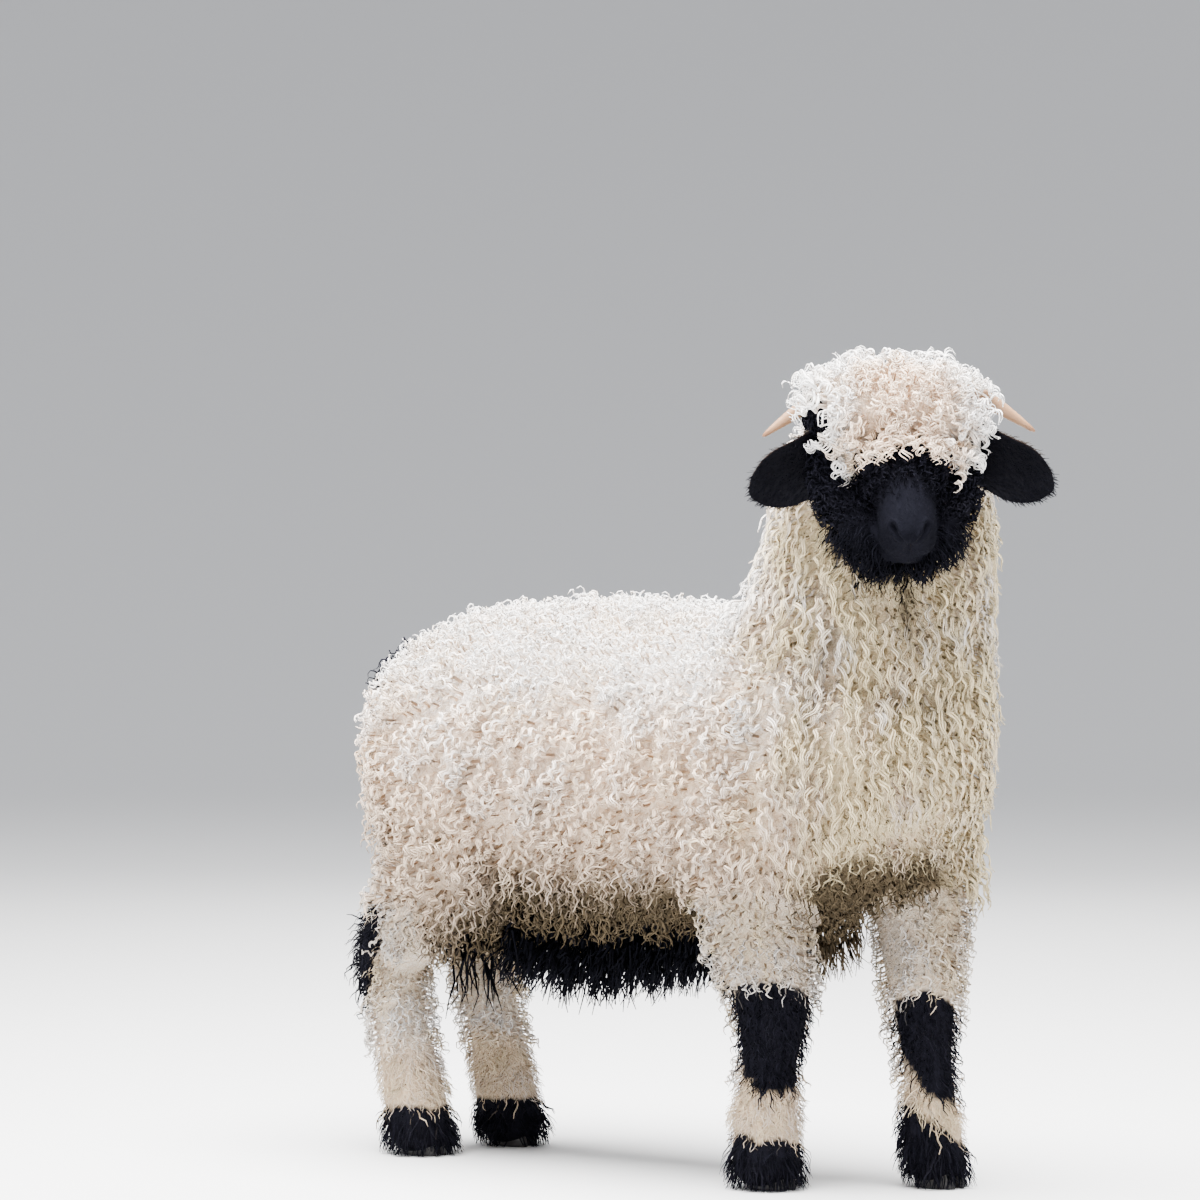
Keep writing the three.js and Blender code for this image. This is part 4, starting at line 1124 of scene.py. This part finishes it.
def dressSkin(points, normals):
    place = readPlaces(points, normals)
    p, q = place["p"], place["q"]
    coat = Dressing(len(p))
    unsure = wavering(p * 0.6) * 0.03
    under = dressTrunk(coat, place, unsure)
    onLeg, bareLeg, isBlack = dressLegs(coat, place, unsure)
    onFace, bareFace = dressHead(coat, place)
    coat.dress("face", isKind(coat.kind, "wave") & isBlack, coatLook["down"])
    coat.kind[bareLeg | bareFace] = -1
    coat.size *= (1 + 0.09 * wavering(p * 0.7)) * (1 - 0.6 * place["thin"])
    # shorter between the forelegs and under the middle of the chin
    hemShort = (1 - smoothStep(0.39, 0.47, p[:, 2])) * (1 - smoothStep(0.060, 0.095, np.abs(p[:, 1] + 0.012)))
    coat.size *= 1 - 0.48 * hemShort * (p[:, 0] > -0.03) * ~onLeg * ~under
    coat.size *= 1 - 0.30 * onFace * (q[:, 2] < -0.12) * (np.abs(q[:, 1]) < 0.03) * (place["face"] < 0.03)
    return coat


def headSpots(points):
    inHead = localTo(headFrame, points)
    return (inHead[:, 0] > -0.01) & (np.abs(inHead[:, 1]) < 0.09) & (inHead[:, 2] > -0.095)


plantLook = {
    "draws": 300000, "headShare": 7, "cell": 0.0076,
    "gatherings": 1600, "gatherReach": 0.030, "tall": 0.4, "sharedTint": 0.6,
    "sunk": 0.08, "untidy": 0.02, "bakePatch": 0.003, "lowest": 0.0012,
}


def unit(rows):
    return rows / np.linalg.norm(rows, axis=1, keepdims=True)


def drawPoints(mesh, draws, crowding):
    # random points of a mesh and the ways out of it there
    verts, normals = readVerts(mesh)
    mesh.calc_loop_triangles()
    corners = np.empty(len(mesh.loop_triangles) * 3, dtype=np.int32)
    mesh.loop_triangles.foreach_get("vertices", corners)
    corners = corners.reshape(-1, 3)
    a, b, c = (verts[corners[:, i]] for i in range(3))
    weight = np.linalg.norm(np.cross(b - a, c - a), axis=1) * crowding(a)
    picked = chance.choice(len(weight), size=draws, p=weight / weight.sum())
    u, v = chance.random(draws), chance.random(draws)
    flip = u + v > 1
    u[flip], v[flip] = 1 - u[flip], 1 - v[flip]
    mix = np.stack([1 - u - v, u, v], 1)[:, :, None]
    at = (verts[corners[picked]] * mix).sum(1)
    return at, unit((normals[corners[picked]] * mix).sum(1))


def scatterRoots(mesh, draws, dressing, crowding):
    # of the points drawn, those at least their kind's spacing from the ones before them
    at, normal = drawPoints(mesh, draws, crowding)
    coat = dressing(at, normal)
    limits = (np.array([lockLooks[name]["spacing"] for name in kindNames])[coat.kind] ** 2).tolist()
    keys, rows = np.floor(at / plantLook["cell"]).astype(int).tolist(), at.tolist()
    around = [(i, j, k) for i in (-1, 0, 1) for j in (-1, 0, 1) for k in (-1, 0, 1)]
    taken, kept = {}, []
    for index in np.nonzero(coat.kind >= 0)[0].tolist():
        x, y, z = rows[index]
        i, j, k = keys[index]
        limit = limits[index]
        near = (other for di, dj, dk in around for other in taken.get((i + di, j + dj, k + dk), ()))
        if all((ox - x) ** 2 + (oy - y) ** 2 + (oz - z) ** 2 >= limit for ox, oy, oz in near):
            taken.setdefault((i, j, k), []).append((x, y, z))
            kept.append(index)
    roots = {"at": at, "normal": normal, "kind": coat.kind, "lie": coat.lie, "size": coat.size}
    return {key: value[kept] for key, value in roots.items()}


def gatherLocks(roots):
    # neighbours lean together into larger locks and share part of their tint
    points, count, shared = roots["at"], plantLook["gatherings"], plantLook["sharedTint"]
    leaders = points[chance.choice(len(points), count, replace=False)]
    leaderTints = chance.random(count)
    # the long locks of the neck and chest gather into upright ones
    tall = np.where(isKind(roots["kind"], "wave"), plantLook["tall"], 1.0)
    roots["lie"] = unit(roots["lie"])
    roots["tint"] = chance.random(len(points)) * (1 - shared)
    blockSize = 2000
    for begin in range(0, len(points), blockSize):
        block = slice(begin, begin + blockSize)
        away = leaders[None] - points[block][:, None, :]
        heights = away[:, :, 2] * tall[block][:, None]
        nearest = (away[:, :, 0] ** 2 + away[:, :, 1] ** 2 + heights**2).argmin(1)
        lean = away[np.arange(len(nearest)), nearest] / plantLook["gatherReach"]
        roots["lie"][block] += lean * tall[block][:, None]
        roots["tint"][block] += leaderTints[nearest] * shared


def unwrapAbout(points, foot, axis):
    # round and along an axis, both from 0 to 1
    axis = np.array(Vector(axis).normalized())
    side = np.array(Vector(axis).orthogonal().normalized())
    other = np.cross(axis, side)
    offset = points - np.array(foot)
    around = np.arctan2(offset @ other, offset @ side) / math.tau + 0.5
    along = offset @ axis
    along = (along - along.min()) / max(1e-6, along.max() - along.min())
    return np.stack([around, along], 1) * 0.98 + 0.01


def setDown(look, shape, roots, rows):
    # the corners of one shape of lock at each of its roots, laid along the skin the way the wool lies
    count = len(rows)
    n, lie = roots["normal"][rows], roots["lie"][rows]
    flat = lie - n * (lie * n).sum(1, keepdims=True) + chance.normal(size=(count, 3)) * plantLook["untidy"]
    flat = unit(flat)
    yaw = np.radians(look["spread"]) * (2 * chance.random((count, 1)) - 1)
    ahead = flat * np.cos(yaw) + np.cross(n, flat) * np.sin(yaw)
    ahead = unit(ahead - n * (ahead * n).sum(1, keepdims=True))
    variety = lockVariety["size"]
    size = roots["size"][rows, None, None] * (1 - variety + 2 * variety * chance.random((count, 1, 1)))
    basis = np.stack([ahead, np.cross(n, ahead), n], 1) * size
    sunk = n * look["length"] * plantLook["sunk"] * size[:, :, 0]
    return np.einsum("vi,nij->nvj", shape["verts"], basis) + (roots["at"][rows] - sunk)[:, None, :]


def meshOfLocks(name, joined, toneNames):
    mesh = bpy.data.meshes.new(name)
    mesh.vertices.add(len(joined["co"]))
    mesh.vertices.foreach_set("co", joined["co"].astype(np.float32).ravel())
    mesh.loops.add(len(joined["corners"]))
    mesh.loops.foreach_set("vertex_index", joined["corners"].astype(np.int32))
    mesh.polygons.add(len(joined["counts"]))
    starts = np.concatenate([[0], np.cumsum(joined["counts"])[:-1]])
    mesh.polygons.foreach_set("loop_start", starts.astype(np.int32))
    smoothed(mesh)
    mesh.update(calc_edges=True)
    for key, layerName in (("bake", "OFBake"), ("strand", "strand")):
        layer = mesh.uv_layers.new(name=layerName)
        layer.uv.foreach_set("vector", joined[key].astype(np.float32).ravel())
    for key in ("tip", *toneNames):
        writeFloats(mesh, key, joined[key])
    return mesh


def plantLocks(name, roots, tones, foot, axis, nodes):
    # one joined mesh of all the locks that stand on these roots
    uvRoots = unwrapAbout(roots["at"], foot, axis)
    parts = {key: [] for key in ("co", "corners", "counts", "tip", "bake", "strand", *tones)}
    offset = 0
    for kindIndex, kindName in enumerate(kindNames):
        look = lockLooks[kindName]
        ofKind = np.nonzero(roots["kind"] == kindIndex)[0]
        drawn = chance.integers(0, look["shapes"], len(ofKind))
        for shapeIndex, shape in enumerate(lockShapes[kindName]):
            rows = ofKind[drawn == shapeIndex]
            count = len(rows)
            if not count:
                continue
            vertCount = len(shape["verts"])
            shifts = offset + np.arange(count) * vertCount
            inPatch = (shape["strands"] - 0.5) * plantLook["bakePatch"]
            parts["co"].append(setDown(look, shape, roots, rows).reshape(-1, 3))
            parts["corners"].append((shape["corners"][None, :] + shifts[:, None]).ravel())
            parts["counts"].append(np.tile(shape["counts"], count))
            parts["tip"].append(np.tile(shape["tips"], count))
            parts["bake"].append((uvRoots[rows][:, None, :] + inPatch[None]).reshape(-1, 2))
            parts["strand"].append(np.tile(shape["strands"], (count, 1)))
            for key, values in tones.items():
                parts[key].append(np.repeat(values[rows], vertCount))
            offset += count * vertCount
    joined = {key: np.concatenate(value) for key, value in parts.items()}
    joined["co"][:, 2] = np.maximum(joined["co"][:, 2], plantLook["lowest"])
    addPiece(name, meshOfLocks(name, joined, list(tones)), woolMaterial, nodes)
    triangles = int((joined["counts"] - 2).sum())
    print(name, len(roots["at"]), "locks,", triangles, "triangles")
    return triangles


def skinTones(roots):
    place = readPlaces(roots["at"], roots["normal"])
    rough = np.clip(chance.normal(size=len(roots["at"])), -1.6, 1.6)
    rough *= ~isKind(roots["kind"], "wave", "fringe", "belly")
    black = blackAt(place, rough)
    # the fringe is black to its front, and no lock of the forelock is
    black[isKind(roots["kind"], "fringe") & (place["p"][:, 0] < marking["bellyFront"] - 0.02)] = 1
    black[isKind(roots["kind"], "forelock")] = 0
    return {**toneAt(place), "black": black, "tint": roots["tint"]}


def worldPoint(x, y, z):
    return tuple(bodyFrame @ Vector((x, y, z)))


def pieceName(node, ending):
    # front_left becomes frontLeft and its ending
    first, second = node.split("_")
    return first + second.capitalize() + ending


def plantCoat():
    # share the roots out by the part of the body that they stand on
    def crowding(points):
        return np.where(headSpots(points), plantLook["headShare"], 1)

    roots = scatterRoots(skinMesh, plantLook["draws"], dressSkin, crowding)
    gatherLocks(roots)
    print("roots set:", {name: int((roots["kind"] == i).sum()) for i, name in enumerate(kindNames)})
    place = readPlaces(roots["at"], roots["normal"])
    p = place["p"]
    isCrown, isFace = headRegions(place)
    isForelock = isKind(roots["kind"], "forelock")
    isNeck = ~isFace & ~isCrown & (place["overNeck"] > 0)
    onTrunk = (place["leg"] < 0) & ~isFace & ~isCrown & ~isNeck
    isTail = onTrunk & (p[:, 0] < tailFront + 0.004)
    onTrunk &= ~isTail
    isHind = onTrunk & (p[:, 0] < barrelEnds[0])
    isFore = onTrunk & (p[:, 0] >= barrelEnds[1])
    isBarrel = onTrunk & ~isHind & ~isFore
    left = p[:, 1] > 0
    up, pollAt, trunkAt = (0, 0, 1), tuple(pollFrame.translation), worldPoint(0, 0, 0.45)
    pieces = [
        ("crownCurls", isCrown & ~isForelock, pollAt, up, "cream_wool", ["crown"]),
        ("forelockCurls", isCrown & isForelock, pollAt, up, "cream_wool", ["crown"]),
        ("faceCurls", isFace, pollAt, up, "black_wool", ["head"]),
        ("tailLocks", isTail, worldPoint(-0.664, 0, 0.45), up, "cream_wool", ["tail"]),
    ]
    for word, side in (("Left", left), ("Right", ~left)):
        pieces += [
            ("neckLocks" + word, isNeck & side, worldPoint(0.05, -0.01, 0.7), up, "cream_wool", ["neck"]),
            ("chestLocks" + word, isFore & side, trunkAt, (1, 0, 0), "cream_wool", ["forequarters"]),
            ("flankCurls" + word, isBarrel & side, trunkAt, (1, 0, 0), "cream_wool", ["barrel"]),
            ("rumpCurls" + word, isHind & side, trunkAt, (1, 0, 0), "cream_wool", ["hindquarters"]),
        ]
    for i, (name, leg) in enumerate(legs.items()):
        nodes = [part for part in legParts if part.startswith(name)]
        foot = worldPoint(leg["joints"][2][0], leg["joints"][2][1], 0)
        pieces.append((pieceName(name, "LegCurls"), place["leg"] == i, foot, up, "cream_wool", nodes))
    total = 0
    for name, mask, foot, axis, slot, nodes in pieces:
        chosen = {key: value[mask] for key, value in roots.items()}
        total += plantLocks(name, chosen, skinTones(chosen), foot, axis, nodes)
    print("coat planted:", total, "triangles")


plantCoat()


# Ears, horns and eyes, in the head frame
earLook = {
    "stations": [
        (-0.006, 0.052, 0.002, 0.013, 0.0060), (0.012, 0.080, -0.008, 0.0225, 0.0042),
        (0.034, 0.110, -0.022, 0.0315, 0.0030), (0.046, 0.137, -0.031, 0.0285, 0.0024),
        (0.057, 0.163, -0.037, 0.011, 0.0020),
    ],
    "upright": (-0.7, 0, 0.7),
    "cup": 0.013,
    "sides": 40,
    "rings": 36,
    "towardTip": (0.063, 0.111, -0.039),
    "furDraws": 16000,
    "rimFacing": 0.72,
    "rimBrown": 0.45,
}
hornLook = {
    "stations": [
        (-0.029, 0.050, 0.035, 0.0110, 0.0110), (-0.028, 0.074, 0.030, 0.0108, 0.0108),
        (-0.023, 0.100, 0.017, 0.0088, 0.0088), (-0.014, 0.124, 0.004, 0.0058, 0.0058),
        (-0.004, 0.147, -0.009, 0.0020, 0.0020),
    ],
    "sides": 24,
    "rings": 60,
    "groove": 0.0003,
    "rootColour": (0.165, 0.105, 0.066, 1),
    "middleColour": (0.31, 0.165, 0.080, 1),
    "tipColour": (0.17, 0.070, 0.028, 1),
    "streakColour": (0.28, 0.16, 0.09, 1),
}
eyeLook = {"pupilLength": 0.0052, "pupilHeight": 0.0020, "bulge": 0.0011, "bulgeEdge": (0.35, 0.72)}


def buildEarMaterial():
    material, tree, shader = newMaterial("earVelvet", **{"Specular IOR Level": 0.02})
    nap = noiseAt(tree, objectPlace(tree), 900.0, 3.0)
    dark = mixColour(tree, nap, (0.0018, 0.0018, 0.0025, 1), (0.0042, 0.0041, 0.0056, 1))
    # a painted highlight: brown where the sky lights the ear's upper edge
    rimmed = mixColour(tree, attributeOf(tree, "rim"), dark, (0.045, 0.030, 0.024, 1))
    tree.links.new(rimmed, shader.inputs["Base Color"])
    tree.links.new(mapRange(tree, nap, 0.3, 0.7, 0.6, 0.85), shader.inputs["Roughness"])
    bumpFrom(tree, shader, nap, 0.6, 0.0008)
    return material


def buildHornMaterial():
    # brownish at the root, tan along the horn and redder at the tip, with pale streaks
    material, tree, shader = newMaterial("horn", **{"Coat Weight": 0.15, "Coat Roughness": 0.35})
    along = attributeOf(tree, "along")
    streaks = noiseAt(tree, objectPlace(tree), 420.0, 4.0)
    base = mixColour(tree, mapRange(tree, along, 0.1, 0.8), hornLook["rootColour"], hornLook["middleColour"])
    tipped = mixColour(tree, mapRange(tree, along, 0.84, 1.0, 0, 0.9), base, hornLook["tipColour"])
    streaked = mixColour(tree, mapRange(tree, streaks, 0.4, 0.7, 0, 0.4), tipped, hornLook["streakColour"])
    tree.links.new(streaked, shader.inputs["Base Color"])
    tree.links.new(mapRange(tree, streaks, 0.3, 0.7, 0.38, 0.58), shader.inputs["Roughness"])
    bumpFrom(tree, shader, streaks, 0.4, 0.0004)
    return material


def buildHoofMaterial():
    material, tree, shader = newMaterial("hoofHorn", **{"Coat Weight": 0.1})
    place = objectPlace(tree)
    waves = {"Scale": 60.0, "Distortion": 2.5, "Detail": 2.0}
    bands = addNode(tree, "ShaderNodeTexWave", waves, bands_direction="Z")
    tree.links.new(place, bands.inputs["Vector"])
    grit = noiseAt(tree, place, 300.0, 4.0)
    dark = mixColour(tree, grit, (0.006, 0.0056, 0.0062, 1), (0.022, 0.019, 0.018, 1))
    tree.links.new(dark, shader.inputs["Base Color"])
    tree.links.new(mapRange(tree, grit, 0.3, 0.7, 0.4, 0.65), shader.inputs["Roughness"])
    bumpFrom(tree, shader, mathNode(tree, "ADD", bands.outputs[1], grit), 0.5, 0.0006)
    return material


def buildEyeMaterial():
    # a dark brown iris with a level pupil, in a darker ring
    sockets = {"Roughness": 0.06, "Coat Weight": 1.0, "Coat Roughness": 0.02}
    material, tree, shader = newMaterial("eyeball", **sockets)
    fibres = noiseAt(tree, objectPlace(tree), 1500.0, 2.0)
    iris = mixColour(tree, fibres, (0.035, 0.014, 0.004, 1), (0.16, 0.075, 0.02, 1))
    outer = mapRange(tree, attributeOf(tree, "fromGaze"), 0.52, 0.66)
    ring = mixColour(tree, outer, iris, (0.02, 0.014, 0.012, 1))
    pupil = mapRange(tree, attributeOf(tree, "fromPupil"), 0.9, 1.1)
    tree.links.new(mixColour(tree, pupil, (0.002, 0.002, 0.003, 1), ring), shader.inputs["Base Color"])
    return material


earMaterial = buildEarMaterial()
hornMaterial = buildHornMaterial()
hoofMaterial = buildHoofMaterial()
eyeMaterial = buildEyeMaterial()


def sidedStations(look, side):
    return look["stations"] if side > 0 else mirrored(look["stations"])


def addEar(side, word):
    # a cupped leaf, with a painted highlight in brown along its upper edge
    sides, rings = earLook["sides"], earLook["rings"]
    bm = bmesh.new()
    sweepForm(bm, sidedStations(earLook, side), headFrame, sides=sides, rings=rings, cap=0.12,
              upright=earLook["upright"], cup=earLook["cup"])
    rimLayer = bm.verts.layers.float.new("rim")
    verts = list(bm.verts)
    for index, vert in enumerate(verts):
        inRing = index % sides
        first = index - inRing
        edge = abs(math.sin(math.tau * inRing / sides))
        height = vert.co.z - (verts[first].co.z + verts[first + sides // 2].co.z) / 2
        along = float(smoothStep(0.2, 0.5, first / ((rings - 1) * sides)))
        # painted highlight: the rim is marked only on the upper edge
        vert[rimLayer] = float(smoothStep(0.97, 1.0, edge)) * along * (height > 0)
    name = "ear" + word.capitalize()
    return addPiece(name, smoothed(meshFrom(bm, name)), earMaterial, [f"ear_{word}"])


def addHorn(side, word):
    # a small tapered horn with fine rings
    sides, rings = hornLook["sides"], hornLook["rings"]
    bm = bmesh.new()
    sweepForm(bm, sidedStations(hornLook, side), headFrame, sides=sides, rings=rings, cap=0.05)
    alongLayer = bm.verts.layers.float.new("along")
    for index, vert in enumerate(bm.verts):
        vert[alongLayer] = (1 - math.cos(math.pi * (index // sides + 1) / rings)) / 2
    bm.normal_update()
    for vert in bm.verts:
        share = vert[alongLayer]
        groove = math.sin(share * 70) * (1 - share) + 0.5 * math.sin(share * 160)
        vert.co += vert.normal * groove * hornLook["groove"]
    name = "horn" + word.capitalize()
    addPiece(name, smoothed(meshFrom(bm, name)), hornMaterial, [f"horn_{word}"])


def addEye(side, word):
    # an eyeball with a bulging cornea and a level pupil
    eyeX, eyeY, eyeZ = headForm["eyeAt"]
    gazeX, gazeY, gazeZ = faceLook["gaze"]
    levelX, levelY, levelZ = faceLook["eyeLevel"]
    toWorld = headFrame.to_3x3()
    gaze = (toWorld @ Vector((gazeX, side * gazeY, gazeZ))).normalized()
    level = (toWorld @ Vector((levelX, side * levelY, levelZ))).normalized()
    level = (level - gaze * level.dot(gaze)).normalized()
    rise = gaze.cross(level)
    middle = headFrame @ Vector((eyeX, eyeY * side, eyeZ))
    ballFrame = Matrix.Translation(middle) @ gaze.to_track_quat("Z", "Y").to_matrix().to_4x4()
    bm = bmesh.new()
    radius = headForm["eyeRadius"]
    bmesh.ops.create_uvsphere(bm, u_segments=48, v_segments=32, radius=radius, matrix=ballFrame)
    fromGaze = bm.verts.layers.float.new("fromGaze")
    fromPupil = bm.verts.layers.float.new("fromPupil")
    for vert in bm.verts:
        offset = vert.co - middle
        angle = offset.angle(gaze)
        lengthwise = offset.dot(level) / eyeLook["pupilLength"]
        upward = offset.dot(rise) / eyeLook["pupilHeight"]
        vert[fromGaze] = angle
        vert[fromPupil] = math.hypot(lengthwise, upward) if angle < 1.5 else 9.0
        bulge = eyeLook["bulge"] * float(1 - smoothStep(*eyeLook["bulgeEdge"], angle))
        vert.co += offset.normalized() * bulge
    name = "eye" + word.capitalize()
    addPiece(name, smoothed(meshFrom(bm, name)), eyeMaterial, [f"eye_{word}"])


def growEarFur(ear, side, word):
    # short fur that runs to the tip, longer along the edge and brown where the edge faces up, a painted
    # highlight
    tipX, tipY, tipZ = earLook["towardTip"]
    towardTip = worldWay(headFrame, (tipX, tipY * side, tipZ))

    def dressEar(points, normals):
        coat = Dressing(len(points))
        edge = np.abs(normals @ worldWay(headFrame, earLook["upright"]))
        coat.dress("ear", np.ones(len(points), bool), towardTip)
        coat.dress("rim", edge > earLook["rimFacing"], towardTip)
        return coat

    roots = scatterRoots(ear.data, earLook["furDraws"], dressEar, lambda points: 1)
    count = len(roots["at"])
    still = np.zeros(count)
    # painted highlight: only the rim hairs that face up are brown
    brown = isKind(roots["kind"], "rim") * smoothStep(0.0, 0.35, roots["normal"][:, 2])
    tones = {"warm": still, "straw": still, "shade": still + 0.9, "black": 1 - earLook["rimBrown"] * brown,
             "tint": chance.random(count)}
    foot = tuple(headFrame @ Vector(sidedStations(earLook, side)[2][:3]))
    plantLocks(f"ear{word.capitalize()}Fur", roots, tones, foot, (0, 0, 1), [f"ear_{word}"])


for side, word in ((1, "left"), (-1, "right")):
    ear = addEar(side, word)
    addHorn(side, word)
    addEye(side, word)
    growEarFur(ear, side, word)
print("ears, horns and eyes set")

# Each hoof is two claws; a level is a height and a share of the claw's full size
hoofLook = {
    "length": 0.052, "width": 0.0185, "cleft": 0.0028, "slope": 0.20, "pinch": 0.42, "toeHalf": 0.004,
    "levels": [(0.0, 0.94), (0.0016, 1.0), (0.010, 0.985), (0.020, 0.93), (0.029, 0.86), (0.034, 0.80)],
}


def addClaw(bm, middle, side):
    # a rounded wedge that is pointed at the toe and flat below
    halfLength, halfWidth = hoofLook["length"] / 2, hoofLook["width"] / 2
    inner = middle[1] + side * hoofLook["cleft"] / 2
    clawY = middle[1] + side * (hoofLook["width"] + hoofLook["cleft"]) / 2
    before = None
    for height, share in hoofLook["levels"]:
        place = Matrix.Translation((middle[0] - height * hoofLook["slope"], clawY, height))
        size = Matrix.Diagonal((halfLength * share, halfWidth * share, 1, 1))
        ring = bmesh.ops.create_circle(bm, segments=28, radius=1, matrix=place @ size)["verts"]
        for vert in ring:
            ahead = (vert.co.x - middle[0]) / halfLength
            if ahead > 0:
                vert.co.y += (inner + side * hoofLook["toeHalf"] - vert.co.y) * hoofLook["pinch"] * ahead**2
        edges = list({e for v in ring for e in v.link_edges})
        if before:
            bmesh.ops.bridge_loops(bm, edges=before + edges)
        else:
            bmesh.ops.contextual_create(bm, geom=edges)
        before = edges
    bmesh.ops.contextual_create(bm, geom=before)


for node in legs:
    bm = bmesh.new()
    lowCorner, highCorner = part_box(f"{node}_hoof")
    hoofAt = ((lowCorner.x + highCorner.x) / 2, (lowCorner.y + highCorner.y) / 2)
    for side in (1, -1):
        addClaw(bm, hoofAt, side)
    name = pieceName(node, "Hoof")
    addPiece(name, smoothed(meshFrom(bm, name)), hoofMaterial, [f"{node}_hoof"])
print("hooves set")

# The floor, the light and the camera
stageLook = {
    "floorHalf": 18.0,
    "flatHalf": 8.0,
    "floorRise": 0.06,
    "floorColour": (0.72, 0.715, 0.71, 1),
    "air": (0.90, 0.93, 1.0, 1),
    "airStrength": 0.76,
    "lampAim": (0.1, 0, 0.45),
}
bm = bmesh.new()
bmesh.ops.create_grid(bm, x_segments=72, y_segments=72, size=stageLook["floorHalf"])
for vert in bm.verts:
    vert.co.z = stageLook["floorRise"] * max(0, vert.co.xy.length - stageLook["flatHalf"]) ** 2
floor = bpy.data.objects.new("floor", smoothed(meshFrom(bm, "floor")))
bpy.context.scene.collection.objects.link(floor)
floorSockets = {"Roughness": 0.8, "Base Color": stageLook["floorColour"]}
floor.data.materials.append(newMaterial("paleFloor", **floorSockets)[0])

world = bpy.data.worlds.new("softAir")
bpy.context.scene.world = world
world.use_nodes = True
world.node_tree.nodes["Background"].inputs[0].default_value = stageLook["air"]
world.node_tree.nodes["Background"].inputs[1].default_value = stageLook["airStrength"]

lights = {
    "sky": {"at": (0.2, -0.5, 3.4), "size": 3.4, "power": 1380},
    "key": {"at": (3.2, -3.2, 2.4), "size": 2.4, "power": 62},
    "fill": {"at": (-2.8, -3.2, 1.6), "size": 2.4, "power": 48},
    "back": {"at": (-2.2, 3.0, 2.4), "size": 2.2, "power": 70},
}
for name, light in lights.items():
    lamp = bpy.data.lights.new(name, "AREA")
    lamp.shape = "DISK"
    lamp.size = light["size"]
    lamp.energy = light["power"]
    holder = bpy.data.objects.new(name, lamp)
    bpy.context.scene.collection.objects.link(holder)
    holder.location = light["at"]
    aim = Vector(stageLook["lampAim"]) - holder.location
    holder.rotation_euler = aim.to_track_quat("-Z", "Y").to_euler()

# metres and degrees; the focus is in pixels of the frame
view = {
    "distance": 6.0, "side": -0.276, "height": 0.756, "azimuth": 40.0, "pitch": 1.05,
    "focus": 5478, "frame": 1200, "film": 36,
}
azimuth = math.radians(view["azimuth"])
rightWay = Vector((math.cos(azimuth), math.sin(azimuth), 0))
depthWay = Vector((-math.sin(azimuth), math.cos(azimuth), 0))
camera = bpy.data.objects.new("camera", bpy.data.cameras.new("camera"))
bpy.context.scene.collection.objects.link(camera)
raised = Vector((0, 0, view["height"]))
camera.location = bodyShift + rightWay * view["side"] - depthWay * view["distance"] + raised
pitch = math.radians(view["pitch"])
look = depthWay * math.cos(pitch) - Vector((0, 0, math.sin(pitch)))
camera.rotation_euler = look.to_track_quat("-Z", "Y").to_euler()
camera.data.sensor_width = view["film"]
camera.data.lens = view["focus"] * view["film"] / view["frame"]
camera.data.clip_end = 60
bpy.context.scene.camera = camera

print("scene ready")
